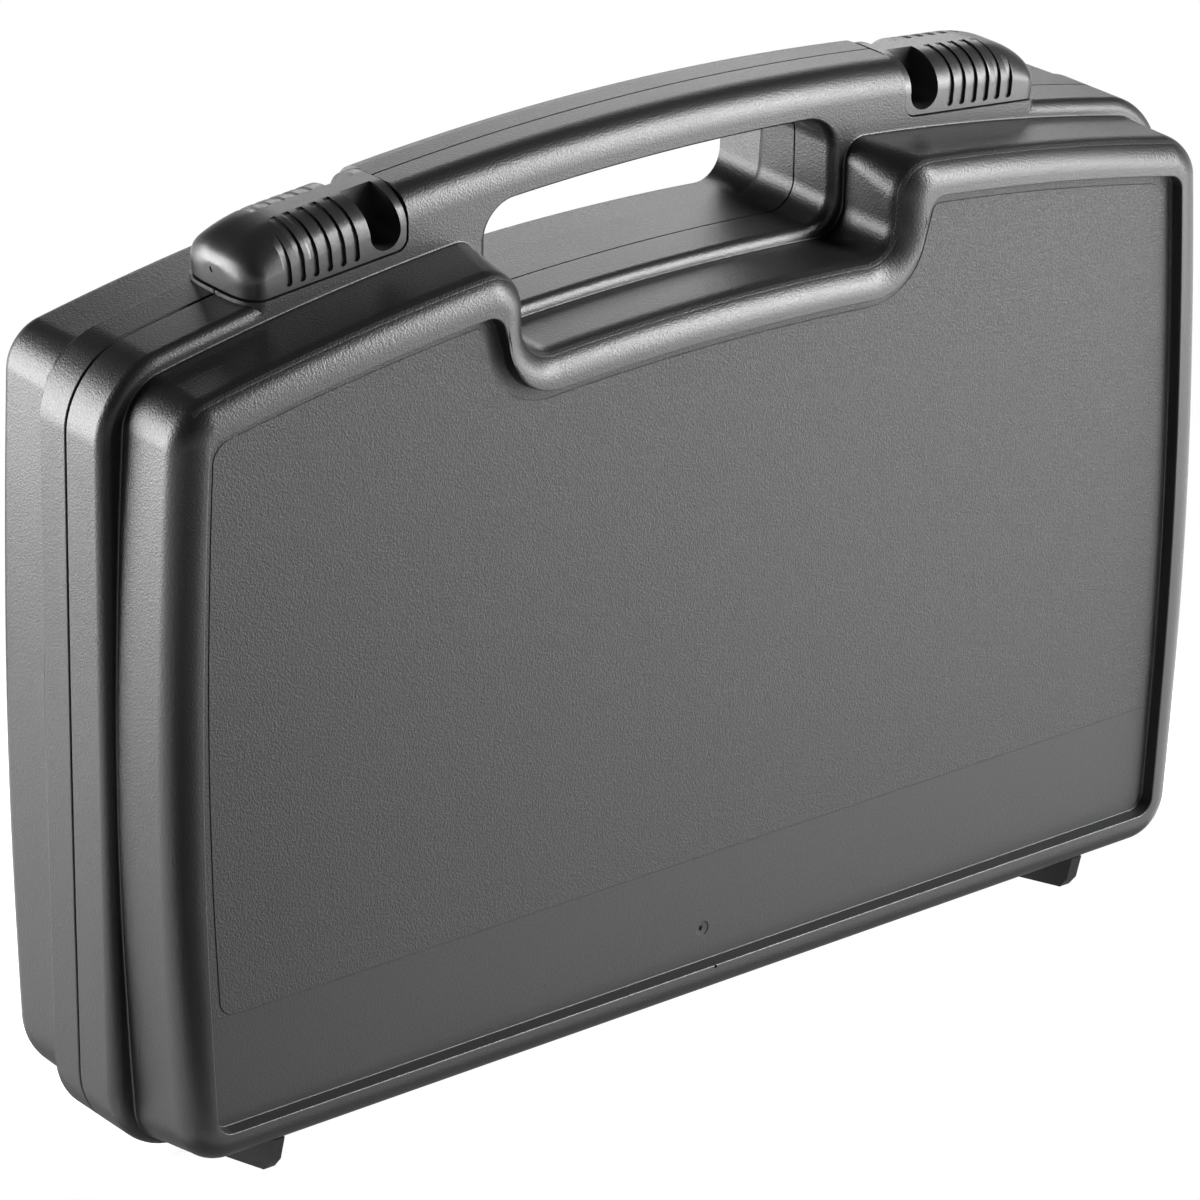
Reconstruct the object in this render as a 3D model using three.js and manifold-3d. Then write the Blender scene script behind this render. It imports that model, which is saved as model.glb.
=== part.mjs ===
// Moulded equipment carrying case: two shells that meet at a flange, a handle
// half on each, two sliding saddle latches, a pinned hinge and foam inserts.
//
// Frame: millimetres, +X along the width, +Z up, front of the case towards -Y.
// The shells meet in the plane y = 0, the hinge runs along X in that plane, and
// the feet stand on z = 0. The whole model is shifted at the end so that the
// origin is the middle of its footprint.
//
// Upper edges are drawn flat and then bent down along one common arch, so the
// crest, the flange, the hand hole, the handle and its ends stay parallel.

import * as THREE from 'three';
import { mergeVertices } from 'three/addons/utils/BufferGeometryUtils.js';
import Module from 'manifold-3d';

const wasm = await Module();
wasm.setup();

// Overall sizes
const HALF_WIDTH = 180; // outer face of the flange from the middle plane
const FRONT_DEPTH = 41; // parting plane to the front rim
const REAR_DEPTH = 33.9; // parting plane to the back face
const HANDLE_TOP = 265; // crown of the handle above the feet
const HANDLE_RISE = 14.5; // crown of the handle above the flange
const FLANGE_TOP = HANDLE_TOP - HANDLE_RISE;
const FLANGE_BOTTOM = 10;
const ARCH_RADIUS = 820; // common arch of everything along the top
const ARCH_FOOT = 60; // the arch fades in from this height
const ARCH_FULL = 180; // and is complete above this one
const WALL = 3;
const OVERRUN = 2; // how far every cutting solid runs past its cut
const FIT = 0.3; // least gap between neighbours
const SLIVER = 1e-9; // area below which three points lie in a row
const DRAFT = 0.4; // taper of the front wall from the step to the rim

// Flange, and the step from it to the narrower front wall
const FLANGE_FRONT = 15.8; // front plane of the flange and of the handle
const FLANGE_REAR = 11.3; // witness line between rear flange and rear wall
const FLANGE_ROUND = 3.4;
const FLANGE_EASE = 0.4; // small chamfer along the parting line
const REAR_WITNESS = 0.35; // height of the witness step
const REAR_SHOULDER = 1.2; // length of the shoulder behind it
const TONGUE_DEPTH = 2.2; // rear lip that enters the front rebate
const TONGUE_INSET = 1.6;

// Hand hole and handle
const LATCH_PLACE = 96.4; // side of the case to the handle end
const HANDLE_END = HALF_WIDTH - LATCH_PLACE; // end face of the handle, where the latch begins
const HOLE_WEB = 25.6; // handle end to the hand hole
const HOLE_HALF = HANDLE_END - HOLE_WEB;
const GRIP_HEIGHT = 12.2;
const HOLE_TOP = HANDLE_TOP - GRIP_HEIGHT;
const HOLE_HEIGHT = 30.2;
const HOLE_BOTTOM = HOLE_TOP - HOLE_HEIGHT;
const HOLE_RADIUS = 8.6;
const HOLE_FLARE = 3.1; // rounding where the hole meets the front plane
const HOLE_TRIM = 0.5; // what the hole cut takes off the flange
const HANDLE_ROUND = 8.6; // long edges of the handle
const BLOCK_ROOT = 1.5; // how deep the handle block is rooted in the flange

// Outlines of the shells, drawn flat: see outline()
const STEP_SIDE = 3.4; // flange side to the front wall
const STEP_NOTCH = 5; // hand hole to the recess side of the front wall
const STEP_TOP = 4.1;
const STEP_FLOOR = 3.4;
const RIM_SIDE = 9.7; // front wall to the inner edge of the rim
const RIM_NOTCH = 3;
const RIM_TOP = 10.7;
const RIM_FLOOR = 10.1;
const RIM_LIFT = 1.6; // the bottom rises towards the rim
const RIM_CORNER = 13.5; // where its lower corners are rounder
const FLANGE = {
  halfWidth: HALF_WIDTH, bow: 0.6, top: FLANGE_TOP, bottom: FLANGE_BOTTOM,
  topRadius: 18, bottomRadius: 21.5, notchHalf: HOLE_HALF - HOLE_TRIM, notchLean: 0,
  notchFloor: HOLE_BOTTOM + HOLE_TRIM, notchRadius: HOLE_RADIUS - HOLE_TRIM, lipRadius: 0.8,
};
const FRONT_WALL = {
  halfWidth: HALF_WIDTH - STEP_SIDE, bow: 4.5, top: FLANGE_TOP - STEP_TOP, bottom: 12.8,
  topRadius: 10.5, bottomRadius: 12, notchHalf: HOLE_HALF + STEP_NOTCH, notchLean: 1.2,
  notchFloor: HOLE_BOTTOM - STEP_FLOOR, notchRadius: 10, lipRadius: 7,
};
const CREST = {
  halfWidth: HALF_WIDTH - STEP_SIDE - RIM_SIDE, bow: 3.3, top: FRONT_WALL.top - RIM_TOP, bottom: 24.2,
  topRadius: 3.5, bottomRadius: 5, notchHalf: HOLE_HALF + STEP_NOTCH + RIM_NOTCH, notchLean: 8.3,
  notchFloor: FRONT_WALL.notchFloor - RIM_FLOOR, notchRadius: 17.5, lipRadius: 6,
};
const RIM_WALL = { ...FRONT_WALL, bottom: FRONT_WALL.bottom + RIM_LIFT, bottomRadius: RIM_CORNER };
const RIM_ROUND = 7.8; // rounded front rim
const PANEL_DEPTH = 4.2; // recess of the front panel behind the rim
const PANEL_DRAFT = 0.7;
const BACK_ROUND = 4.5; // rounded edge of the back face
const BACK_DRAFT = 0.4; // taper of the rear wall from the flange to there
const BACK_BOW = 3; // the rear wall is fuller at half height
const BACK_LIFT = 3.5; // its bottom lies higher than the flange
const BACK_DROP = 0.8; // and its top lower
const BACK_TOP_RADIUS = 10;
const BACK_BOTTOM_RADIUS = 20.5;
const CAVITY_ROUND = 2.5; // rounded inner edge along each floor
const BACK_INSET = REAR_WITNESS + BACK_DRAFT;
const BACK_WALL = {
  ...FLANGE, bow: BACK_BOW, topRadius: BACK_TOP_RADIUS, bottomRadius: BACK_BOTTOM_RADIUS,
  halfWidth: FLANGE.halfWidth - BACK_INSET, top: FLANGE.top - BACK_INSET - BACK_DROP,
  bottom: FLANGE.bottom + BACK_INSET + BACK_LIFT, notchHalf: FLANGE.notchHalf + BACK_INSET,
  notchFloor: FLANGE.notchFloor - BACK_INSET, notchRadius: FLANGE.notchRadius + BACK_INSET,
};

// Latches, in a frame that starts at the handle end and runs outwards
const LATCH_HALF = 15.4; // half of the width across both shells
const LATCH_HEIGHT = 15.2;
const LATCH_LENGTH = 49;
const LATCH_SIDE = 6; // straight height of the sides
const LATCH_CROWN = 3.2; // half width of the flat along the top
const LATCH_BULGE = 5; // length of the rounded end in plan
const END_CURVE = 3.5; // fullness of the rounded end: 2 is an ellipse
const LATCH_TIP = 0.06; // left off the end of the bulge
const LATCH_DOME = 9.3; // rounding from the top down to the end
const DOME_LENGTH = 20; // and how far along the top it reaches
const LATCH_DROP = 19.4; // crown of the handle to the lower edge of the latch
const LATCH_BASE = HANDLE_TOP - LATCH_DROP;
const LATCH_SLOPE = 0.094; // fall of the lower edge, and of the travel
const LATCH_WALL = 1.9;
const LATCH_CORE = 2.7; // half thickness of the middle rib
const LATCH_CORNER = 3; // lower inner corner
const DECK_GAP = 0.45; // running gap over the shells
const END_GAP = 0.4; // gap to the handle end
const STRIP_PROUD = 0.4; // base strip beyond the latch side

// Finger notch and grip grooves of the latch
const NOTCH_START = 1.3; // thickness of the end wall
const NOTCH_RADIUS = 4.8;
const NOTCH_FLOOR = 1.2;
const GROOVE_COUNT = 6;
const GROOVE_FIRST = 15.7;
const GROOVE_PITCH = 4.26;
const GROOVE_WIDTH = 2.2;
const GROOVE_DEPTH = 0.9; // in the side
const GROOVE_TOP_DEPTH = 0.4; // in the top
const GROOVE_END = 1.1; // plain rim left below the grooves

// Rail of the rear shell that carries the latch, and the channel round it
const RAIL_START = 24;
const RAIL_END = 38;
const RAIL_MIDDLE = 8;
const RAIL_STEM = 0.9; // half thickness
const RAIL_HEAD = 2.5; // half width
const RAIL_NECK = 3; // height of the underside of the head
const RAIL_TOP = 5.2;
const LIP_HEIGHT = 2.4;
const HOLLOW_END = RAIL_END + 2 * FIT; // end of the hollow of the cap

// Hinge
const HINGE_DROP = 3.4; // axis below the flange
const HINGE_HEIGHT = FLANGE_BOTTOM - HINGE_DROP;
const KNUCKLE_RADIUS = 3;
const PIN_RADIUS = 1.5;
const PIN_FIT = 0.3;
const HINGE_INSET = 92; // side of the case to the middle of each hinge
const HINGE_PLACE = HALF_WIDTH - HINGE_INSET;
const KNUCKLE_LENGTH = 8;
const KNUCKLE_GAP = 0.4;
const KNUCKLE_COUNT = 5;
const KNUCKLE_WEB = 6; // reach of the web that joins it to its flange

// Feet: thin fins under each shell
const FOOT_INSET = 39.3; // side of the case to the foot
const FOOT_PLACE = HALF_WIDTH - FOOT_INSET;
const FOOT_THICKNESS = 3.6;
const FOOT_HEEL = 8; // from the parting plane
const FOOT_FLAT_END = 13.4;
const FOOT_TOE = 30.6;
const FOOT_TOE_LIFT = 3.6;
const FOOT_TIP = 33.4;
const FOOT_TIP_LIFT = 7;
const FOOT_FRONT = 35.3;
const REAR_FOOT_SHARE = 0.8; // rear fins are shorter than the front ones
const REAR_FOOT_HEEL = 10.4; // and leave room for those of the open lid

// Foam
const FOAM_GAP = 0.5;
const FOAM_SKIN = 6.5; // backing pad under the pocket layer
const FOAM_FACE = 1.2; // pocket layer behind the parting plane
const LID_FOAM_FACE = 8; // lid pad behind the parting plane
const POCKET_RADIUS = 3;
const POCKET_MARGIN = 22; // foam left round the pockets
const UNIT_POCKET_SHARE = 0.6115; // of the width inside the margins
const POCKET_TOP_MARGIN = 14.1; // foam left under the hand recess
const POCKET_WALL = 20.9; // foam left between the pockets


// Materials
const finish = (color, roughness, metalness = 0) => new THREE.MeshStandardMaterial({ color, roughness, metalness });
const SHELL_PLASTIC = finish(0x3a3b3d, 0.55);
const LATCH_PLASTIC = finish(0x26272a, 0.3);
const PIN_STEEL = finish(0xb9bcc0, 0.35, 1);
const FOAM = finish(0x1d1e20, 0.95);

// How far the arch has fallen at a distance from the middle
const archDrop = (x) => ARCH_RADIUS - Math.sqrt(ARCH_RADIUS ** 2 - x ** 2);

// Bends a flat point down onto the arch
function bend(x, z) {
  const share = THREE.MathUtils.clamp((z - ARCH_FOOT) / (ARCH_FULL - ARCH_FOOT), 0, 1);
  return z - share * archDrop(x);
}

// Corners with a radius become arcs, and edges are divided into steps
function roundedPath(corners) {
  const points = [];
  corners.forEach((corner, i) => {
    const here = new THREE.Vector2(corner.at[0], corner.at[1]);
    const first = i === 0;
    const last = i === corners.length - 1;
    const before = first ? null : new THREE.Vector2(...corners[i - 1].at).sub(here).normalize();
    const after = last ? null : new THREE.Vector2(...corners[i + 1].at).sub(here).normalize();
    let arc = [here];
    if (before && after && corner.radius) {
      const half = Math.acos(THREE.MathUtils.clamp(before.dot(after), -1, 1)) / 2;
      const centre = before.clone().add(after).normalize().multiplyScalar(corner.radius / Math.sin(half)).add(here);
      const reach = corner.radius / Math.tan(half);
      const start = here.clone().addScaledVector(before, reach).sub(centre);
      const end = here.clone().addScaledVector(after, reach).sub(centre);
      let sweep = end.angle() - start.angle();
      if (sweep > Math.PI) sweep -= 2 * Math.PI;
      if (sweep < -Math.PI) sweep += 2 * Math.PI;
      arc = [];
      for (let k = 0; k <= corner.steps; k++) {
        arc.push(start.clone().rotateAround(new THREE.Vector2(), (sweep * k) / corner.steps).add(centre));
      }
    }
    if (!first) {
      const from = points[points.length - 1];
      for (let k = 1; k < (corner.edge ?? 1); k++) points.push(from.clone().lerp(arc[0], k / corner.edge));
    }
    points.push(...arc);
  });
  return points;
}

// Moves an outline inwards all round
function inset(spec, by) {
  return {
    ...spec,
    halfWidth: spec.halfWidth - by,
    top: spec.top - by,
    bottom: spec.bottom + by,
    topRadius: Math.max(spec.topRadius - by, FIT),
    bottomRadius: Math.max(spec.bottomRadius - by, FIT),
    notchHalf: spec.notchHalf + by,
    notchFloor: spec.notchFloor - by,
    notchRadius: spec.notchRadius + by,
    lipRadius: Math.max(spec.lipRadius - by, FIT),
  };
}

// Front view of a shell: a bowed box with rounded corners, an arched top and
// the hand recess in the middle of the top. Every outline has as many points.
function outline(spec) {
  const half = roundedPath([
    { at: [0, spec.bottom] },
    { at: [spec.halfWidth, spec.bottom], radius: spec.bottomRadius, steps: 6, edge: 2 },
    { at: [spec.halfWidth, spec.top], radius: spec.topRadius, steps: 6, edge: 5 },
    { at: [spec.notchHalf + spec.notchLean, spec.top], radius: spec.lipRadius, steps: 4, edge: 4 },
    { at: [spec.notchHalf, spec.notchFloor], radius: spec.notchRadius, steps: 5 },
    { at: [0, spec.notchFloor], edge: 3 },
  ]);
  const middle = (spec.top + spec.bottom) / 2;
  const reach = (spec.top - spec.bottom) / 2;
  const right = half.map((p) => {
    const bow = spec.bow * ((p.y - middle) / reach) ** 2 * (p.x / spec.halfWidth);
    return new THREE.Vector2(p.x - bow, bend(p.x, p.y));
  });
  const left = right.slice(1, -1).reverse().map((p) => new THREE.Vector2(-p.x, p.y));
  return [...right, ...left];
}

// Fills a flat outline with triangles by cutting off its shortest free corner.
// Points in a straight row stay, so the cap meets every point of the skin.
function fill(contour) {
  const turn = THREE.ShapeUtils.isClockWise(contour) ? -1 : 1;
  const area = (a, b, c) => turn * ((b.x - a.x) * (c.y - a.y) - (b.y - a.y) * (c.x - a.x));
  const rest = contour.map((_, i) => i);
  const triangles = [];
  while (rest.length > 3) {
    let best = null;
    rest.forEach((j, n) => {
      const [i, k] = [rest.at(n - 1), rest[(n + 1) % rest.length]];
      const [a, b, c] = [contour[i], contour[j], contour[k]];
      const span = a.distanceToSquared(c);
      if (area(a, b, c) <= SLIVER || (best && span >= best.span)) return;
      const blocked = rest.some((m) => m !== i && m !== j && m !== k
        && area(a, b, contour[m]) >= -SLIVER && area(b, c, contour[m]) >= -SLIVER
        && area(c, a, contour[m]) >= -SLIVER);
      if (!blocked) best = { n, span, corners: [i, j, k] };
    });
    if (!best) throw new Error('the outline crosses itself');
    triangles.push(best.corners);
    rest.splice(best.n, 1);
  }
  return [...triangles, rest];
}

// Skins a list of rings that have as many points each, and closes both ends
function loft(rings, flat) {
  const count = rings[0].length;
  const positions = rings.flat().flatMap((p) => [p.x, p.y, p.z]);
  const index = [];
  for (let r = 0; r + 1 < rings.length; r++) {
    for (let i = 0; i < count; i++) {
      const j = (i + 1) % count;
      const [a, b, c, d] = [r * count + i, r * count + j, (r + 1) * count + i, (r + 1) * count + j];
      index.push(a, b, d, a, d, c);
    }
  }
  const last = (rings.length - 1) * count;
  for (const [a, b, c] of fill(rings[0].map(flat))) index.push(a, c, b);
  for (const [a, b, c] of fill(rings.at(-1).map(flat))) index.push(a + last, b + last, c + last);
  const geometry = new THREE.BufferGeometry();
  geometry.setAttribute('position', new THREE.Float32BufferAttribute(positions, 3));
  geometry.setIndex(index);
  return volume(geometry) < 0 ? flip(geometry) : geometry;
}

// Signed volume of a closed indexed geometry
function volume(geometry) {
  const p = geometry.attributes.position;
  const [a, b, c] = [new THREE.Vector3(), new THREE.Vector3(), new THREE.Vector3()];
  let sum = 0;
  for (let i = 0; i < geometry.index.count; i += 3) {
    a.fromBufferAttribute(p, geometry.index.getX(i));
    b.fromBufferAttribute(p, geometry.index.getX(i + 1));
    c.fromBufferAttribute(p, geometry.index.getX(i + 2));
    sum += a.dot(b.cross(c)) / 6;
  }
  return sum;
}

function flip(geometry) {
  const index = geometry.index.array;
  for (let i = 0; i < index.length; i += 3) [index[i], index[i + 1]] = [index[i + 1], index[i]];
  return geometry;
}

// A closed geometry becomes a solid that can be joined and cut
function solid(geometry) {
  const plain = geometry.clone();
  plain.deleteAttribute('normal');
  plain.deleteAttribute('uv');
  const merged = mergeVertices(plain);
  return new wasm.Manifold(new wasm.Mesh({
    numProp: 3,
    vertProperties: new Float32Array(merged.attributes.position.array),
    triVerts: new Uint32Array(merged.index.array),
  }));
}

function geometryOf(body) {
  const mesh = body.getMesh();
  const geometry = new THREE.BufferGeometry();
  geometry.setAttribute('position', new THREE.BufferAttribute(new Float32Array(mesh.vertProperties), 3));
  geometry.setIndex(new THREE.BufferAttribute(new Uint32Array(mesh.triVerts), 1));
  geometry.computeVertexNormals();
  return geometry;
}

const join = (bodies) => bodies.reduce((whole, body) => whole.add(body));
const cut = (body, cutters) => cutters.reduce((rest, cutter) => rest.subtract(cutter), body);

// An outline at one depth, as a ring of a shell
const ringAt = (spec, y) => outline(spec).map((p) => new THREE.Vector3(p.x, y, p.y));
const frontView = (p) => new THREE.Vector2(p.x, p.z);
const sideView = (p) => new THREE.Vector2(p.y, p.z);

// A profile drawn as (y, z), swept along X between two places
function prismX(profile, from, to) {
  return solid(loft([from, to].map((x) => profile.map(([y, z]) => new THREE.Vector3(x, y, z))), sideView));
}

// A quarter round from one ring to the next: steps of [share in, share along]
function quarter(steps) {
  return Array.from({ length: steps + 1 }, (_, k) => {
    const angle = (k / steps) * (Math.PI / 2);
    return [1 - Math.cos(angle), Math.sin(angle)];
  });
}

// Front shell, from the inner floor out to the panel
function frontShellWall() {
  const floorBack = FRONT_DEPTH - PANEL_DEPTH - WALL;
  const rings = [
    ringAt(inset(FRONT_WALL, WALL + CAVITY_ROUND), -floorBack),
    ringAt(inset(FRONT_WALL, WALL), -(floorBack - CAVITY_ROUND)),
    ringAt(inset(FRONT_WALL, WALL), -(FLANGE_FRONT - WALL / 2)),
    ringAt(inset(FLANGE, WALL), -(FLANGE_FRONT - WALL)),
    ringAt(inset(FLANGE, WALL), -(TONGUE_DEPTH + FIT * 2)),
    ringAt(inset(FLANGE, TONGUE_INSET - FIT), -(TONGUE_DEPTH + FIT)),
    ringAt(inset(FLANGE, TONGUE_INSET - FIT), -FIT),
    ringAt(inset(FLANGE, FLANGE_EASE), -FIT),
    ringAt(FLANGE, -(FIT + FLANGE_EASE)),
    ...quarter(3).map(([inwards, along]) => ringAt(
      inset(FLANGE, FLANGE_ROUND * inwards), -(FLANGE_FRONT - FLANGE_ROUND + FLANGE_ROUND * along))),
    ringAt(FRONT_WALL, -FLANGE_FRONT),
    ...quarter(5).map(([inwards, along]) => ringAt(
      inset(RIM_WALL, DRAFT + RIM_ROUND * inwards), -(FRONT_DEPTH - RIM_ROUND + RIM_ROUND * along))),
    ringAt(CREST, -FRONT_DEPTH),
    ringAt(inset(CREST, PANEL_DRAFT), -(FRONT_DEPTH - PANEL_DEPTH)),
  ];
  return solid(loft(rings, frontView));
}

// Rear shell, from the inner floor out to the back face
function rearShellWall() {
  const rings = [
    ringAt(inset(BACK_WALL, WALL + CAVITY_ROUND), REAR_DEPTH - WALL),
    ringAt(inset(BACK_WALL, WALL), REAR_DEPTH - WALL - CAVITY_ROUND),
    ringAt(inset(BACK_WALL, WALL), FLANGE_REAR),
    ringAt(inset(FLANGE, WALL), FLANGE_REAR - WALL),
    ringAt(inset(FLANGE, WALL), -TONGUE_DEPTH),
    ringAt(inset(FLANGE, TONGUE_INSET), -TONGUE_DEPTH),
    ringAt(inset(FLANGE, TONGUE_INSET), FIT),
    ringAt(inset(FLANGE, FLANGE_EASE), FIT),
    ringAt(FLANGE, FIT + FLANGE_EASE),
    ringAt(FLANGE, FLANGE_REAR),
    ringAt(inset(BACK_WALL, -BACK_DRAFT), FLANGE_REAR + REAR_SHOULDER),
    ...quarter(4).map(([inwards, along]) => ringAt(
      inset(BACK_WALL, BACK_ROUND * inwards), REAR_DEPTH - BACK_ROUND + BACK_ROUND * along)),
  ];
  return solid(loft(rings, frontView));
}

// Half of the handle: its section swept along the width, then bent to the arch
function handleHalf(side) {
  const section = roundedPath([
    { at: [FIT, FLANGE_TOP - BLOCK_ROOT] },
    { at: [FLANGE_FRONT, FRONT_WALL.top] },
    { at: [FLANGE_FRONT, HANDLE_TOP], radius: HANDLE_ROUND, steps: 6 },
    { at: [FIT, HANDLE_TOP] },
  ]);
  const steps = 14;
  const rings = Array.from({ length: steps + 1 }, (_, k) => {
    const x = HANDLE_END * ((2 * k) / steps - 1);
    return section.map((p) => new THREE.Vector3(x, side * p.x, bend(x, p.y)));
  });
  return solid(loft(rings, sideView));
}

// The hand hole, flared towards the side it opens to; a rear hole flares only
// under the handle, because the rear wall runs on flush behind it
function handHole(side) {
  const holeRing = (y, flare) => {
    const floor = side < 0 ? flare : 0;
    const corners = [
      { at: [0, HOLE_BOTTOM - floor] },
      { at: [HOLE_HALF + floor, HOLE_BOTTOM - floor], radius: HOLE_RADIUS + floor, steps: 6, edge: 4 },
      { at: [HOLE_HALF + floor, HOLE_TOP + flare], radius: HOLE_RADIUS + floor, steps: 6, edge: 2 },
      { at: [0, HOLE_TOP + flare], edge: 4 },
    ];
    const right = roundedPath(corners);
    const left = right.slice(1, -1).reverse().map((p) => new THREE.Vector2(-p.x, p.y));
    return [...right, ...left].map((p) => new THREE.Vector3(p.x, y, bend(p.x, p.y)));
  };
  const far = side < 0 ? FLANGE_FRONT : REAR_DEPTH;
  const rings = [holeRing(-side * OVERRUN, 0)];
  for (const [inwards, along] of quarter(4)) {
    rings.push(holeRing(side * (FLANGE_FRONT - HOLE_FLARE + HOLE_FLARE * along), HOLE_FLARE * inwards));
  }
  rings.push(holeRing(side * (far + OVERRUN), HOLE_FLARE));
  return solid(loft(rings, frontView));
}

// The frame of a latch: x runs outwards along its travel, z is square to it
const LATCH_ANGLE = Math.atan(LATCH_SLOPE);
const LATCH_ORIGIN = HANDLE_END + END_GAP;
const latchFrame = (hand) => new THREE.Matrix4()
  .makeRotationY(hand * LATCH_ANGLE)
  .setPosition(hand * LATCH_ORIGIN, 0, LATCH_BASE);
const deckHeight = (x) => LATCH_BASE - DECK_GAP - LATCH_SLOPE * (x - LATCH_ORIGIN);

// Half width in plan of the latch, at a distance along it
function latchPlan(x, proud = 0) {
  const share = THREE.MathUtils.clamp((x - LATCH_LENGTH - proud + LATCH_BULGE) / LATCH_BULGE, 0, 1);
  return (LATCH_HALF + proud) * (1 - share ** 2) ** (1 / END_CURVE);
}

// Stations along a latch seat: a fillet at the handle end, then the deck, then
// the round end of the strip
const SEAT_FILLET = LATCH_CORNER + DECK_GAP;
const SEAT_END = LATCH_ORIGIN + LATCH_LENGTH + STRIP_PROUD;
const seatHeight = (x) => {
  const run = THREE.MathUtils.clamp(HANDLE_END + SEAT_FILLET - x, 0, SEAT_FILLET);
  return deckHeight(x) + SEAT_FILLET - Math.sqrt(SEAT_FILLET ** 2 - run ** 2);
};
function seatStations() {
  const fillet = quarter(4).map(([inwards]) => HANDLE_END + SEAT_FILLET * inwards);
  const end = Array.from({ length: 7 }, (_, k) => SEAT_END - LATCH_BULGE * (1 - k / 6) ** 2);
  return [...fillet, (HANDLE_END + SEAT_END) / 2, ...end];
}

// Base strip under a latch, from its root in the flange up to the deck
function baseStrip(side, hand) {
  const rings = seatStations().map((x) => {
    const y = Math.max(latchPlan(x - LATCH_ORIGIN, STRIP_PROUD), FIT * 2);
    const low = bend(x, FRONT_WALL.top);
    return [[FIT, low], [y, low], [y, seatHeight(x)], [FIT, seatHeight(x)]]
      .map(([across, z]) => new THREE.Vector3(hand * x, side * across, z));
  });
  return solid(loft(rings, sideView));
}

// The room above a latch seat
function seatRoom(hand) {
  const rings = [...seatStations(), SEAT_END + OVERRUN].map((x) => {
    const y = FLANGE_FRONT + OVERRUN;
    const high = seatHeight(x) + LATCH_HEIGHT;
    return [[-y, seatHeight(x)], [y, seatHeight(x)], [y, high], [-y, high]]
      .map(([across, z]) => new THREE.Vector3(hand * x, across, z));
  });
  return solid(loft(rings, sideView));
}

// T rail on the rear shell's deck, in the latch frame
function latchRail(hand) {
  const profile = [
    [RAIL_MIDDLE - RAIL_STEM, -OVERRUN], [RAIL_MIDDLE + RAIL_STEM, -OVERRUN],
    [RAIL_MIDDLE + RAIL_STEM, RAIL_NECK], [RAIL_MIDDLE + RAIL_HEAD, RAIL_NECK],
    [RAIL_MIDDLE + RAIL_HEAD, RAIL_TOP], [RAIL_MIDDLE - RAIL_HEAD, RAIL_TOP],
    [RAIL_MIDDLE - RAIL_HEAD, RAIL_NECK], [RAIL_MIDDLE - RAIL_STEM, RAIL_NECK],
  ];
  const bar = loft([RAIL_START, RAIL_END].map((x) => profile.map(
    ([y, z]) => new THREE.Vector3(hand * x, y, z))), sideView);
  return solid(bar.applyMatrix4(latchFrame(hand)));
}

// Knuckles of one shell on one hinge: every other place along the pin
function knuckles(side, place) {
  const round = 20;
  const ring = Array.from({ length: round }, (_, k) => {
    const angle = (k / round) * 2 * Math.PI;
    return [Math.cos(angle), Math.sin(angle)];
  });
  const pitch = KNUCKLE_LENGTH + KNUCKLE_GAP;
  const bodies = [];
  for (let k = side > 0 ? 0 : 1; k < KNUCKLE_COUNT; k += 2) {
    const from = place + pitch * (k - KNUCKLE_COUNT / 2) + KNUCKLE_GAP / 2;
    const barrel = prismX(ring.map(([c, s]) => [c * KNUCKLE_RADIUS, HINGE_HEIGHT + s * KNUCKLE_RADIUS]),
      from, from + KNUCKLE_LENGTH);
    const web = prismX([
      [0, HINGE_HEIGHT - KNUCKLE_RADIUS / 2], [side * KNUCKLE_RADIUS, HINGE_HEIGHT - KNUCKLE_RADIUS / 2],
      [side * KNUCKLE_WEB, FLANGE_BOTTOM + WALL / 2], [side * FIT * 2, FLANGE_BOTTOM + WALL / 2],
      [side * FIT * 2, FLANGE_BOTTOM - FIT], [0, FLANGE_BOTTOM - FIT],
    ], from, from + KNUCKLE_LENGTH);
    const bore = prismX(ring.map(([c, s]) => [c * (PIN_RADIUS + PIN_FIT), HINGE_HEIGHT + s * (PIN_RADIUS + PIN_FIT)]),
      from - OVERRUN, from + KNUCKLE_LENGTH + OVERRUN);
    bodies.push(cut(join([barrel, web]), [bore]));
  }
  return bodies;
}

// A fin foot: flat next to the hinge, then rising towards the outside
function foot(side, place) {
  const [heel, reachShare] = side < 0 ? [FOOT_HEEL, 1] : [REAR_FOOT_HEEL, REAR_FOOT_SHARE];
  const along = (y) => side * (heel + (y - FOOT_HEEL) * reachShare);
  const root = (side < 0 ? FRONT_WALL : BACK_WALL).bottom + WALL / 2;
  const profile = [
    [along(FOOT_HEEL), 0], [along(FOOT_FLAT_END), 0], [along(FOOT_TOE), FOOT_TOE_LIFT],
    [along(FOOT_TIP), FOOT_TIP_LIFT], [along(FOOT_FRONT), root], [along(FOOT_HEEL), root],
  ];
  return prismX(profile, place - FOOT_THICKNESS / 2, place + FOOT_THICKNESS / 2);
}

// Groove of the front shell that takes the rear shell's lip
function lipGroove() {
  const spec = inset(FLANGE, TONGUE_INSET - FIT);
  return solid(loft([ringAt(spec, OVERRUN), ringAt(spec, -(TONGUE_DEPTH + FIT))], frontView));
}

function shell(side) {
  const hands = [-1, 1];
  const wall = side < 0 ? frontShellWall() : rearShellWall();
  const strips = hands.map((hand) => baseStrip(side, hand));
  const feet = hands.map((hand) => foot(side, hand * FOOT_PLACE));
  const grooves = side < 0 ? [lipGroove()] : [];
  const body = cut(join([wall, handleHalf(side), ...strips, ...feet]),
    [handHole(side), ...hands.map(seatRoom), ...grooves]);
  const rails = side > 0 ? hands.map(latchRail) : [];
  return join([body, ...hands.flatMap((hand) => knuckles(side, hand * HINGE_PLACE)), ...rails]);
}

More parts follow.
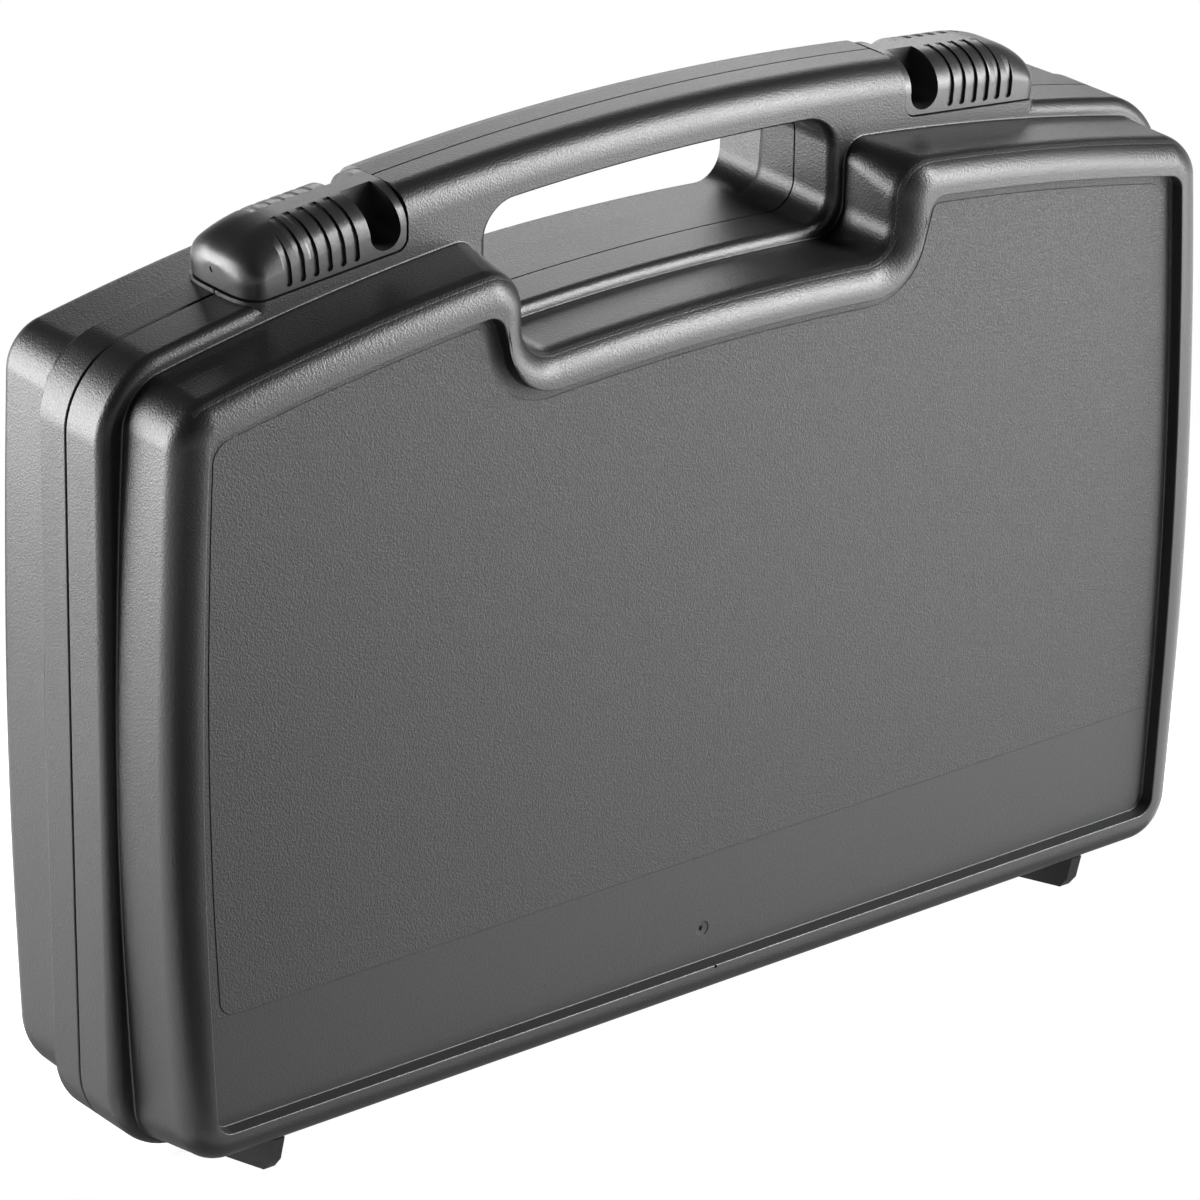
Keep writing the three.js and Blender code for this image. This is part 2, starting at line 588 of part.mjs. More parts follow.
// Section of a latch, drawn as (y, z), for a half width and a height
function latchSection(half, height, side = 0, top = 0) {
  const steps = 7;
  const right = [[half - side, 0]];
  const squeeze = half / LATCH_HALF;
  for (let k = 0; k <= steps; k++) {
    const angle = (k / steps) * (Math.PI / 2);
    const y = (LATCH_CROWN + (LATCH_HALF - LATCH_CROWN - side) * Math.cos(angle)) * squeeze;
    const z = LATCH_SIDE + (LATCH_HEIGHT - LATCH_SIDE - top) * Math.sin(angle);
    right.push([y, z * (height / LATCH_HEIGHT)]);
  }
  return [...right, ...right.slice().reverse().map(([y, z]) => [-y, z])];
}

// A saddle latch in its own frame, drawn for the right-hand side
function latchGeometry(hand) {
  const place = (x, section) => section.map(([y, z]) => new THREE.Vector3(x, y, z));
  const leaning = (section) => section.map(([y, z]) => new THREE.Vector3(-z * LATCH_SLOPE, y, z));
  const rings = [leaning(latchSection(LATCH_HALF, LATCH_HEIGHT)), place(NOTCH_START, latchSection(LATCH_HALF, LATCH_HEIGHT))];
  const domeStart = LATCH_LENGTH - DOME_LENGTH;
  const domeSteps = 9;
  for (let k = 0; k <= domeSteps; k++) {
    const angle = (k / domeSteps) * (Math.PI / 2);
    const x = Math.min(domeStart + DOME_LENGTH * Math.sin(angle), LATCH_LENGTH - LATCH_TIP);
    const height = LATCH_HEIGHT - LATCH_DOME * (1 - Math.cos(angle));
    rings.push(place(x, latchSection(latchPlan(x), height)));
  }
  const body = solid(loft(rings, sideView));

  const cutters = [];
  const inner = LATCH_HALF - LATCH_WALL;
  const hollowStart = NOTCH_START + 2 * NOTCH_RADIUS + LATCH_WALL;
  const roof = LATCH_HEIGHT - LATCH_WALL;
  for (const side of [-1, 1]) {
    // Finger notch: a round-bottomed slot up through the side and the shoulder
    const slot = [];
    const slotSteps = 10;
    for (let k = 0; k <= slotSteps; k++) {
      const angle = Math.PI + (k / slotSteps) * Math.PI;
      slot.push([NOTCH_START + NOTCH_RADIUS * (1 + Math.cos(angle)), NOTCH_FLOOR + NOTCH_RADIUS * (1 + Math.sin(angle))]);
    }
    slot.push([NOTCH_START + 2 * NOTCH_RADIUS, LATCH_HEIGHT + OVERRUN], [NOTCH_START, LATCH_HEIGHT + OVERRUN]);
    const slotAt = (y) => slot.map(([x, z]) => new THREE.Vector3(x, side * y, z));
    cutters.push(solid(loft([slotAt(LATCH_CORE + FIT), slotAt(LATCH_HALF + OVERRUN)], frontView)));

    // Hollow of the cap beyond the notch
    const hollow = [
      [side * LATCH_CORE, -OVERRUN], [side * inner, -OVERRUN], [side * inner, LATCH_SIDE],
      [side * (inner - LATCH_WALL), roof - LATCH_WALL], [side * (LATCH_CROWN + LATCH_WALL), roof],
      [side * LATCH_CORE, roof],
    ];
    cutters.push(prismX(hollow, hollowStart, HOLLOW_END));

    // Grip grooves: slots with a round lower end, whose floor follows the section
    const half = latchSection(LATCH_HALF, LATCH_HEIGHT).length / 2;
    const over = latchSection(LATCH_HALF + OVERRUN, LATCH_HEIGHT + OVERRUN, -OVERRUN, -OVERRUN).slice(0, half);
    const floor = latchSection(LATCH_HALF, LATCH_HEIGHT, GROOVE_DEPTH, GROOVE_TOP_DEPTH).slice(0, half);
    const band = [...over, ...floor.reverse()].map(([y, z]) => [side * y, z]);
    const reach = GROOVE_WIDTH / 2;
    for (let k = 0; k < GROOVE_COUNT; k++) {
      const x = GROOVE_FIRST + GROOVE_PITCH * k;
      const outlineAt = (y) => [
        ...Array.from({ length: 7 }, (_, n) => Math.PI * (1 + n / 6))
          .map((angle) => [x + reach * Math.cos(angle), GROOVE_END + reach * (1 + Math.sin(angle))]),
        [x + reach, LATCH_HEIGHT + OVERRUN], [x - reach, LATCH_HEIGHT + OVERRUN],
      ].map(([along, z]) => new THREE.Vector3(along, side * y, z));
      const slotBody = solid(loft([outlineAt(LATCH_CROWN), outlineAt(LATCH_HALF + OVERRUN)], frontView));
      cutters.push(prismX(band, x - GROOVE_WIDTH, x + GROOVE_WIDTH).intersect(slotBody));
    }
  }
  // Rounded lower inner corner
  const corner = [[-OVERRUN, -OVERRUN], [LATCH_CORNER, -OVERRUN]];
  for (let k = 0; k <= 4; k++) {
    const angle = (k / 4) * (Math.PI / 2);
    corner.push([LATCH_CORNER * (1 - Math.sin(angle)) - LATCH_SLOPE * LATCH_CORNER * (k / 4), LATCH_CORNER * (1 - Math.cos(angle))]);
  }
  corner.push([-OVERRUN, LATCH_CORNER]);
  const cornerAt = (y) => corner.map(([x, z]) => new THREE.Vector3(x, y, z));
  cutters.push(solid(loft([cornerAt(-LATCH_HALF - OVERRUN), cornerAt(LATCH_HALF + OVERRUN)], frontView)));

  // Lips that close under the rail's head, on the rear side only
  const lips = [
    [[LATCH_CORE - FIT, 0], [RAIL_MIDDLE - RAIL_STEM - FIT, 0], [RAIL_MIDDLE - RAIL_STEM - FIT, LIP_HEIGHT], [LATCH_CORE - FIT, LIP_HEIGHT]],
    [[RAIL_MIDDLE + RAIL_STEM + FIT, 0], [inner + FIT, 0], [inner + FIT, LIP_HEIGHT], [RAIL_MIDDLE + RAIL_STEM + FIT, LIP_HEIGHT]],
  ].map((profile) => prismX(profile, hollowStart - FIT, HOLLOW_END + FIT));
  const latch = join([cut(body, cutters), ...lips]);
  const geometry = geometryOf(latch);
  if (hand > 0) return geometry;
  geometry.scale(-1, 1, 1);
  return flip(geometry);
}

function hingePin() {
  const length = KNUCKLE_COUNT * KNUCKLE_LENGTH + (KNUCKLE_COUNT - 1) * KNUCKLE_GAP;
  const geometry = new THREE.CylinderGeometry(PIN_RADIUS, PIN_RADIUS, length, 16);
  geometry.rotateZ(Math.PI / 2);
  return geometryOf(solid(geometry));
}

// A slab of foam cut to the inside of a shell
function foamSlab(spec, near, far) {
  return solid(loft([ringAt(spec, near), ringAt(spec, far)], frontView));
}

// A pocket: a rounded box, given by two opposite corners in front view
function pocket([left, low], [right, high], near, far) {
  const [a, b, c, d] = [[left, low], [right, low], [right, high], [left, high]]
    .map((at) => ({ at, radius: POCKET_RADIUS, steps: 4 }));
  const start = { at: [(left + right) / 2, low] };
  const loop = roundedPath([start, b, c, d, a, start]).slice(0, -1);
  return solid(loft([near, far].map((y) => loop.map((p) => new THREE.Vector3(p.x, y, p.y))), frontView));
}

const REAR_FOAM = inset(BACK_WALL, WALL + FOAM_GAP + CAVITY_ROUND);
const FRONT_FOAM = inset(FRONT_WALL, WALL + FOAM_GAP + CAVITY_ROUND);
const rearFloor = REAR_DEPTH - WALL - FOAM_GAP;
const frontFloor = FRONT_DEPTH - PANEL_DEPTH - WALL - FOAM_GAP;
const skinTop = rearFloor - FOAM_SKIN;


// Base foam with a pocket for a flat unit and one for its accessories
function pocketFoam() {
  const left = -REAR_FOAM.halfWidth + POCKET_MARGIN;
  const right = REAR_FOAM.halfWidth - POCKET_MARGIN;
  const low = REAR_FOAM.bottom + POCKET_MARGIN;
  const high = REAR_FOAM.notchFloor - POCKET_TOP_MARGIN;
  const unitRight = left + UNIT_POCKET_SHARE * (right - left);
  const wells = [
    [[left, low], [unitRight, high]],
    [[unitRight + POCKET_WALL, low], [right, high]],
  ];
  return cut(foamSlab(REAR_FOAM, FOAM_FACE, skinTop - FIT),
    wells.map(([from, to]) => pocket(from, to, FOAM_FACE - OVERRUN, skinTop + OVERRUN)));
}

const caseModel = new THREE.Group();
function part(name, geometry, material) {
  const mesh = new THREE.Mesh(geometry, material);
  mesh.name = name;
  caseModel.add(mesh);
  return mesh;
}

part('rear_shell', geometryOf(shell(1)), SHELL_PLASTIC);
part('front_shell', geometryOf(shell(-1)), SHELL_PLASTIC);
for (const [name, hand] of [['left', -1], ['right', 1]]) {
  const latch = part(`${name}_latch`, latchGeometry(hand), LATCH_PLASTIC);
  latch.position.set(hand * LATCH_ORIGIN, 0, LATCH_BASE);
  latch.rotation.y = hand * LATCH_ANGLE;
  part(`${name}_hinge_pin`, hingePin(), PIN_STEEL).position.set(hand * HINGE_PLACE, 0, HINGE_HEIGHT);
}
part('base_foam_pockets', geometryOf(pocketFoam()), FOAM);
part('base_foam_pad', geometryOf(foamSlab(REAR_FOAM, skinTop, rearFloor)), FOAM);
part('lid_foam_pad', geometryOf(foamSlab(FRONT_FOAM, -LID_FOAM_FACE, -frontFloor)), FOAM);

// The origin is the middle of the footprint, on the ground
caseModel.position.y = (FRONT_DEPTH - REAR_DEPTH) / 2;

export default caseModel;
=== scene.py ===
import math

import bmesh
import bpy
import numpy as np
from mathutils import Matrix, Vector


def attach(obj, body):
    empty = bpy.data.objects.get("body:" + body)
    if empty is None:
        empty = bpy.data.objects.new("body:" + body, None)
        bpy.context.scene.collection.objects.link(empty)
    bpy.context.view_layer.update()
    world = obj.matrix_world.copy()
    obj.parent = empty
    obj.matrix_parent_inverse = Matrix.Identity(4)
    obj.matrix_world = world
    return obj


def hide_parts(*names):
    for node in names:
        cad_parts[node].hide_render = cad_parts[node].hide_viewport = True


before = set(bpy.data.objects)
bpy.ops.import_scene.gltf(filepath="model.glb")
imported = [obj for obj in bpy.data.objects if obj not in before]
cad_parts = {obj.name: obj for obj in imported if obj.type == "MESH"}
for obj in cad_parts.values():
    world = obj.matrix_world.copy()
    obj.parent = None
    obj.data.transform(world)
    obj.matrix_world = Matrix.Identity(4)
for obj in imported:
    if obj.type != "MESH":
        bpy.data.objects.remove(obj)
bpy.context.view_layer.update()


# Camera: a long lens at the photographer's place, in front of the case, to its
# left and above it, turned a little about its own axis.
lens_pixels, frame_pixels, sensor_width, far_clip = 6662.0, 1200.0, 36.0, 20.0
heading, tilt, roll = math.radians(38.496), math.radians(23.712), math.radians(0.698)
eye = Vector((-1.03835, -1.29305, 0.84902))

forward = Vector((math.sin(heading) * math.cos(tilt), math.cos(heading) * math.cos(tilt), -math.sin(tilt)))
level = Vector((math.cos(heading), -math.sin(heading), 0.0))
above = level.cross(forward)
across = math.cos(roll) * level + math.sin(roll) * above
upward = -math.sin(roll) * level + math.cos(roll) * above
camera_data = bpy.data.cameras.new("camera")
camera_data.sensor_width = sensor_width
camera_data.lens = lens_pixels / frame_pixels * sensor_width
camera_data.clip_end = far_clip
camera = bpy.data.objects.new("camera", camera_data)
bpy.context.scene.collection.objects.link(camera)
camera.matrix_world = Matrix((
    (across.x, upward.x, -forward.x, eye.x),
    (across.y, upward.y, -forward.y, eye.y),
    (across.z, upward.z, -forward.z, eye.z),
    (0.0, 0.0, 0.0, 1.0)))
bpy.context.scene.camera = camera
bpy.context.scene.view_settings.view_transform = "Standard"


# Studio: a white table under the case, a tall and a low soft box at the right
# front, one at each side behind, dark cards on the table at the left front and behind
# the case, a grey card under the case that paints the floor's shade there into what
# the case reflects, and a white room for the camera and the gloss alone.
class Field:
    """A value that changes over a surface; arithmetic on it adds the Math nodes."""

    def __init__(self, tree, socket):
        self.tree, self.socket = tree, socket

    def node(self, kind, settings=None, inputs=None, output=0):
        made = self.tree.nodes.new(kind)
        for key, value in (settings or {}).items():
            setattr(made, key, value)
        for key, value in (inputs or {}).items():
            if isinstance(value, Field):
                self.tree.links.new(value.socket, made.inputs[key])
            else:
                made.inputs[key].default_value = value
        return Field(self.tree, made.outputs[output])

    def math(self, operation, *others):
        return self.node("ShaderNodeMath", {"operation": operation}, dict(enumerate((self, *others))))

    def other_output(self, name):
        """Another output of the node that this value comes from."""
        return Field(self.tree, self.socket.node.outputs[name])

    def __add__(self, other):
        return self.math("ADD", other)

    def __sub__(self, other):
        return self.math("SUBTRACT", other)

    def __mul__(self, other):
        return self.math("MULTIPLY", other)

    def __rsub__(self, other):
        return self.node("ShaderNodeMath", {"operation": "SUBTRACT"}, {0: other, 1: self})

    __radd__, __rmul__ = __add__, __mul__

    def ramp(self, low, high):
        return self.node("ShaderNodeMapRange", {"interpolation_type": "SMOOTHSTEP"},
                         {"Value": self, "From Min": low, "From Max": high})


def new_material(name):
    """An empty material, and a field that adds nodes to it."""
    made = bpy.data.materials.new(name)
    made.use_nodes = True
    made.node_tree.nodes.clear()
    return made, Field(made.node_tree, None)


def show_surface(made, shader):
    """Makes the shader what the material shows."""
    output = made.node_tree.nodes.new("ShaderNodeOutputMaterial")
    made.node_tree.links.new(shader.socket, output.inputs["Surface"])


def as_mesh(name, points, faces):
    mesh = bpy.data.meshes.new(name)
    mesh.from_pydata([tuple(map(float, p)) for p in points], [], faces)
    mesh.validate()
    made = bpy.data.objects.new(name, mesh)
    bpy.context.scene.collection.objects.link(made)
    return made


def add_lamp(name, place, target, width, height, power):
    data = bpy.data.lights.new(name, "AREA")
    data.shape, data.size, data.size_y, data.energy = "RECTANGLE", width, height, power
    made = bpy.data.objects.new(name, data)
    made.location = place
    made.rotation_euler = (Vector(target) - Vector(place)).to_track_quat("-Z", "Y").to_euler()
    bpy.context.scene.collection.objects.link(made)
    return made


case_middle = (0.0, 0.0, 0.13)
# Each lamp's place, width, height and power.
lamps = {
    "tall_soft_box": ((0.67, -0.8, 0.7), 0.26, 0.85, 31.0),
    "low_soft_box": ((0.62, -0.62, 0.16), 0.5, 0.26, 4.9),
    "left_back_soft_box": ((-0.62, 0.55, 0.23), 0.5, 0.55, 12.5),
    "back_right_soft_box": ((1.05, 1.35, 0.86), 1.0, 0.55, 7.0)}
for lamp_name, (lamp_place, lamp_width, lamp_height, lamp_power) in lamps.items():
    add_lamp(lamp_name, lamp_place, case_middle, lamp_width, lamp_height, lamp_power)

world = bpy.data.worlds.new("white_room")
world.use_nodes = True
world.node_tree.nodes.clear()
sky = Field(world.node_tree, None)
ray = sky.node("ShaderNodeLightPath")
shown = ray.other_output("Is Camera Ray").math("MAXIMUM", ray.other_output("Is Transmission Ray"))
mirrored = ray.other_output("Is Glossy Ray")
toward = sky.node("ShaderNodeTexCoord").other_output("Generated")
toward = sky.node("ShaderNodeSeparateXYZ", None, {"Vector": toward}, 2)
room_level, horizon_level, ceiling_level = 0.1, 0.75, 0.02
horizon_sine, ceiling_sine = 0.02, 0.35
backdrop_level = horizon_level - toward.ramp(horizon_sine, ceiling_sine) * (horizon_level - ceiling_level)
strength = room_level + shown * (1.0 - room_level) + mirrored * (backdrop_level - room_level)
backdrop = sky.node("ShaderNodeBackground", None, {"Color": (1.0, 1.0, 1.0, 1.0), "Strength": strength})
world_output = world.node_tree.nodes.new("ShaderNodeOutputWorld")
world.node_tree.links.new(backdrop.socket, world_output.inputs["Surface"])
bpy.context.scene.world = world

reach = 3.0
table_corners = [(-reach, -reach, 0), (reach, -reach, 0), (reach, reach, 0), (-reach, reach, 0)]
table = as_mesh("table_top", table_corners, [(0, 1, 2, 3)])
paper_glow, paper_white, paper_black = 0.72, (0.82, 0.82, 0.82, 1.0), (0.01, 0.01, 0.01, 1.0)
shadow_near, shadow_far, lid_side, lid_side_end = 0.22, 0.32, -0.004, 0.004


def paper_material(name, gloss_level, dark):
    """White paper to the camera; a dark card is nearly black to every other ray.

    It is clear to camera and shadow rays away from the case and where the lid
    opens, so the white room shows there and the open lid is seen and lit."""
    made, paint = new_material(name)
    spot = paint.node("ShaderNodeTexCoord").other_output("Object")
    behind = paint.node("ShaderNodeSeparateXYZ", None, {"Vector": spot}, 1)
    away = paint.node("ShaderNodeVectorMath", {"operation": "LENGTH"}, {0: spot}, 1)
    kept = behind.ramp(lid_side, lid_side_end) * (1.0 - away.ramp(shadow_near, shadow_far))
    paper = paint.node("ShaderNodeBsdfDiffuse", None, {"Color": paper_white})
    path = paint.node("ShaderNodeLightPath")
    camera_ray = path.other_output("Is Camera Ray")
    glow = paint.node("ShaderNodeEmission", None, {
        "Color": (1.0, 1.0, 1.0, 1.0),
        "Strength": camera_ray * paper_glow + path.other_output("Is Glossy Ray") * gloss_level})
    if dark:
        black = paint.node("ShaderNodeBsdfDiffuse", None, {"Color": paper_black})
        paper = paint.node("ShaderNodeMixShader", None, {0: camera_ray, 1: black, 2: paper})
    solid = paint.node("ShaderNodeAddShader", None, {0: paper, 1: glow})
    clear = paint.node("ShaderNodeBsdfTransparent", None, {"Color": (1.0, 1.0, 1.0, 1.0)})
    let_through = camera_ray.math("MAXIMUM", path.other_output("Is Shadow Ray")) * (1.0 - kept)
    show_surface(made, paint.node("ShaderNodeMixShader", None, {0: let_through, 1: solid, 2: clear}))
    return made


table.data.materials.append(paper_material("white_table", paper_glow, False))

card_rise = 0.0002
# Each card's level in the gloss and its corners on the table.
cards = {
    "black_card": (0.06, [(-0.16, -0.075), (-0.62, -0.075), (-0.62, -0.75), (0.04, -0.75), (0.04, -0.2)]),
    # The grey card under the case is painted shade: white paper to the camera, but grey in the gloss where
    # the floor lies in the case's shadow.
    "under_case_painted_shade_card": (0.36, [(-0.185, -0.06), (0.19, -0.05), (0.19, 0.1), (-0.185, 0.08)]),
    "back_card": (0.06, [(-0.34, 0.3), (-0.05, 0.3), (-0.05, 0.75), (-0.34, 0.75)])}
for card_name, (card_gloss, card_corners) in cards.items():
    card = as_mesh(card_name, [(x, y, card_rise) for x, y in card_corners], [tuple(range(len(card_corners)))])
    card.data.materials.append(paper_material(card_name, card_gloss, True))


# Shell plastic: charcoal polypropylene with a fine sand grain from the mould,
# coarser on the field of the sunk panel and finer on the band below the field.
def plastic_material(name, colour, roughness, grain_size, grain_height, panel=None):
    made, surface = new_material(name)
    grain_share, pit_share, pit_scale_share = 0.7, 0.5, 0.7
    cloud_scale, cloud_gloss, grain_gloss = 18.0, 0.06, 0.2
    cloud_low, cloud_high, dark_share, light_share = 0.35, 0.65, 0.92, 1.08
    place = surface.node("ShaderNodeTexCoord").other_output("Object")
    grain = surface.node("ShaderNodeTexNoise", None, {
        "Vector": place, "Scale": 1.0 / grain_size, "Detail": 1.0, "Roughness": 0.5})
    pits = surface.node("ShaderNodeTexVoronoi", {"feature": "SMOOTH_F1"}, {
        "Vector": place, "Scale": pit_scale_share / grain_size, "Smoothness": 0.6})
    clouds = surface.node("ShaderNodeTexNoise", None, {"Vector": place, "Scale": cloud_scale, "Detail": 3.0})
    relief = grain * grain_share + pits * pit_share
    rough = roughness + (clouds - 0.5) * cloud_gloss + (grain - 0.5) * grain_gloss
    if panel:
        panel_relief, band_relief, panel_gloss, panel_grain_gloss = 1.25, 1.5, 0.2, 0.3
        split = surface.node("ShaderNodeSeparateXYZ", None, {"Vector": place})
        on_panel, on_band = panel(*(split.other_output(i) for i in range(3)))
        relief = relief * (1.0 + on_panel * panel_relief - on_band * band_relief)
        rough = rough + on_panel * (panel_gloss + (grain - 0.5) * panel_grain_gloss)
    bump = surface.node("ShaderNodeBump", None, {"Height": relief, "Distance": grain_height, "Strength": 1.0})
    base = surface.node("ShaderNodeMix", {"data_type": "RGBA"}, {
        "Factor": clouds.ramp(cloud_low, cloud_high),
        "A": (*[c * dark_share for c in colour], 1.0), "B": (*[c * light_share for c in colour], 1.0)}, 2)
    show_surface(made, surface.node("ShaderNodeBsdfPrincipled", None, {
        "Base Color": base, "Roughness": rough, "Normal": bump}))
    return made


def front_panel(x, y, z):
    """Where the sunk panel is, and the band below its field, as places in metres."""
    field_low, panel_face, blend, case_side, case_low = 0.0565, 0.03345, 0.0004, 0.166, 0.0245
    depth = (y + panel_face).math("ABSOLUTE")
    between_sides = 1.0 - x.math("ABSOLUTE").ramp(case_side, case_side + blend)
    on_panel = (1.0 - depth.ramp(blend, 2 * blend)) * between_sides * z.ramp(case_low, case_low + blend)
    return on_panel, on_panel * (1.0 - z.ramp(field_low - blend, field_low + blend))


shell_colour, shell_roughness, shell_grain, shell_relief = (0.0092, 0.0093, 0.0097), 0.385, 0.00044, 0.00008
shell_plastic = plastic_material(
    "charcoal_shell_plastic", shell_colour, shell_roughness, shell_grain, shell_relief, front_panel)


# Front shell, the lid: an injection moulding with a rounded rim round a sunk
# panel, a flange that meets the other shell, half of the handle, a hand recess,
# seats for both latches, two fin feet and its share of the hinge knuckles.

# Sizes are in millimetres from here on, and y runs from the parting plane back.
# A side of -1 is in front of that plane and 1 behind it; a hand of -1 is the left.
mm, parting_shift = 0.001, 3.55
half_width, front_depth, rear_depth = 180.0, 41.0, 33.9
handle_top, flange_top, flange_bottom = 265.0, 250.5, 10.0
arch_radius, arch_foot, arch_full = 820.0, 60.0, 180.0
wall, overrun, fit, draft = 3.0, 2.0, 0.3, 0.4
flange_front, flange_round, flange_ease = 15.8, 3.4, 0.4
tongue_depth, tongue_inset = 2.2, 1.6
hole_half, hole_bottom, hole_top, hole_radius, hole_trim = 58.0, 222.6, 252.8, 8.6, 0.5
hole_flare, top_flare_share = 3.1, 0.35
handle_end, handle_round, block_root = 83.6, 8.6, 1.5
flange_spec = dict(half=half_width, bow=0.6, top=flange_top, bottom=flange_bottom, top_radius=18.0,
                   bottom_radius=21.5, notch=hole_half - hole_trim, lean=0.0, floor=hole_bottom + hole_trim,
                   notch_radius=hole_radius - hole_trim, lip_radius=0.8)
front_wall_spec = dict(half=176.6, bow=4.5, top=246.4, bottom=12.8, top_radius=10.5, bottom_radius=12.0,
                       notch=63.0, lean=1.2, floor=219.2, notch_radius=10.0, lip_radius=7.0)
rim_wall_spec = dict(front_wall_spec, bottom=14.4, bottom_radius=13.5, lip_radius=12.5)
crest_spec = dict(half=166.9, bow=3.3, top=235.7, bottom=24.2, top_radius=3.5, bottom_radius=5.0,
                  notch=66.0, lean=8.3, floor=209.1, notch_radius=17.5, lip_radius=6.0)
rim_round, panel_depth, panel_draft, crest_ease, floor_fillet, step_fillet = 7.8, 4.0, 0.3, 0.4, 0.35, 0.5
cavity_round, field_inset, field_edge, field_rise = 2.5, 3.4, 0.2, 0.22
between_shares = (0.33, 0.66)


def bend(x, z):
    """The height z after the whole case is arched about its middle."""
    x, z = np.asarray(x, float), np.asarray(z, float)
    share = np.clip((z - arch_foot) / (arch_full - arch_foot), 0, 1)
    return z - share * (arch_radius - np.sqrt(arch_radius ** 2 - x ** 2))


def rounded_path(corners):
    """Points of (x, z, radius, arc steps, edge steps) corners, arcs included."""
    points = []
    for i, (x, z, radius, steps, edge) in enumerate(corners):
        here = np.array((x, z), float)
        arc = [here]
        if 0 < i < len(corners) - 1 and radius > 0:
            before = np.array(corners[i - 1][:2], float) - here
            after = np.array(corners[i + 1][:2], float) - here
            before, after = before / np.linalg.norm(before), after / np.linalg.norm(after)
            half = math.acos(float(np.clip(before @ after, -1, 1))) / 2
            middle = before + after
            centre = here + middle / np.linalg.norm(middle) * radius / math.sin(half)
            start = here + before * radius / math.tan(half) - centre
            end = here + after * radius / math.tan(half) - centre
            turn = math.atan2(end[1], end[0]) - math.atan2(start[1], start[0])
            turn = (turn + math.pi) % (2 * math.pi) - math.pi
            arc = []
            for k in range(steps + 1):
                c, s = math.cos(turn * k / steps), math.sin(turn * k / steps)
                arc.append(centre + np.array((c * start[0] - s * start[1], s * start[0] + c * start[1])))
        if points:
            points += [points[-1] + (arc[0] - points[-1]) * k / edge for k in range(1, edge)]
        points += arc
    return np.array(points)


def inset(spec, by):
    """The sizes of an outline that runs everywhere by that much inside."""
    return dict(spec, half=spec["half"] - by, top=spec["top"] - by, bottom=spec["bottom"] + by,
                top_radius=max(spec["top_radius"] - by, fit),
                bottom_radius=max(spec["bottom_radius"] - by, fit),
                notch=spec["notch"] + by, floor=spec["floor"] - by, notch_radius=spec["notch_radius"] + by,
                lip_radius=max(spec["lip_radius"] - by, fit))


def mirrored_loop(right):
    """A closed loop from its right half, whose ends lie on the middle line."""
    left = right[-2:0:-1] * np.array((-1, 1))
    return np.vstack((right, left))


def outline(spec):
    """The closed (x, z) outline with the hand recess in its top edge."""
    half = rounded_path([
        (0, spec["bottom"], 0, 0, 1),
        (spec["half"], spec["bottom"], spec["bottom_radius"], 16, 12),
        (spec["half"], spec["top"], spec["top_radius"], 16, 24),
        (spec["notch"] + spec["lean"], spec["top"], spec["lip_radius"], 14, 14),
        (spec["notch"], spec["floor"], spec["notch_radius"], 14, 4),
        (0, spec["floor"], 0, 0, 12)])
    middle, reach_z = (spec["top"] + spec["bottom"]) / 2, (spec["top"] - spec["bottom"]) / 2
    bow = spec["bow"] * ((half[:, 1] - middle) / reach_z) ** 2 * half[:, 0] / spec["half"]
    return mirrored_loop(np.column_stack((half[:, 0] - bow, bend(half[:, 0], half[:, 1]))))


def ring(spec, y):
    """An outline as points of (x, y, z) in the plane at y."""
    flat = outline(spec)
    return np.column_stack((flat[:, 0], np.full(len(flat), y), flat[:, 1]))


def quarter(steps):
    """Steps of a quarter round as pairs of shares, from (0, 0) to (1, 1)."""
    angles = [k / steps * math.pi / 2 for k in range(steps + 1)]
    return [(1 - math.cos(angle), math.sin(angle)) for angle in angles]


def loft(name, rings, shift=(0.0, parting_shift, 0.0)):
    """A closed skin through rings of as many points each, in millimetres."""
    count = len(rings[0])
    points = (np.vstack(rings) + np.array(shift)) * mm
    faces = []
    for r in range(len(rings) - 1):
        a, b = r * count, (r + 1) * count
        faces += [(a + i, a + (i + 1) % count, b + (i + 1) % count, b + i) for i in range(count)]
    faces.append(tuple(range(count - 1, -1, -1)))
    faces.append(tuple(range((len(rings) - 1) * count, len(rings) * count)))
    made = as_mesh(name, points, faces)
    shape = bmesh.new()
    shape.from_mesh(made.data)
    bmesh.ops.recalc_face_normals(shape, faces=shape.faces)
    shape.to_mesh(made.data)
    shape.free()
    return made


def prism_x(name, profile, low, high):
    return loft(name, [np.array([(x, y, z) for y, z in profile]) for x in (low, high)])


def settle(piece):
    """Turns what the modifiers show into the piece's own mesh."""
    bpy.context.view_layer.update()
    shaped = piece.evaluated_get(bpy.context.evaluated_depsgraph_get())
    result = bpy.data.meshes.new_from_object(shaped)
    old = piece.data
    piece.modifiers.clear()
    piece.data = result
    bpy.data.meshes.remove(old)
    return piece


def combine(piece, others, operation):
    """Joins or cuts the piece with each of the others, which are used up."""
    for other in others:
        step = piece.modifiers.new("step", "BOOLEAN")
        step.operation, step.solver, step.object = operation, "MANIFOLD", other
        settle(piece)
        old = other.data
        bpy.data.objects.remove(other)
        bpy.data.meshes.remove(old)
    return piece


merge_distance, eased_angle, normal_weight = 0.001 * mm, 40.0, 50


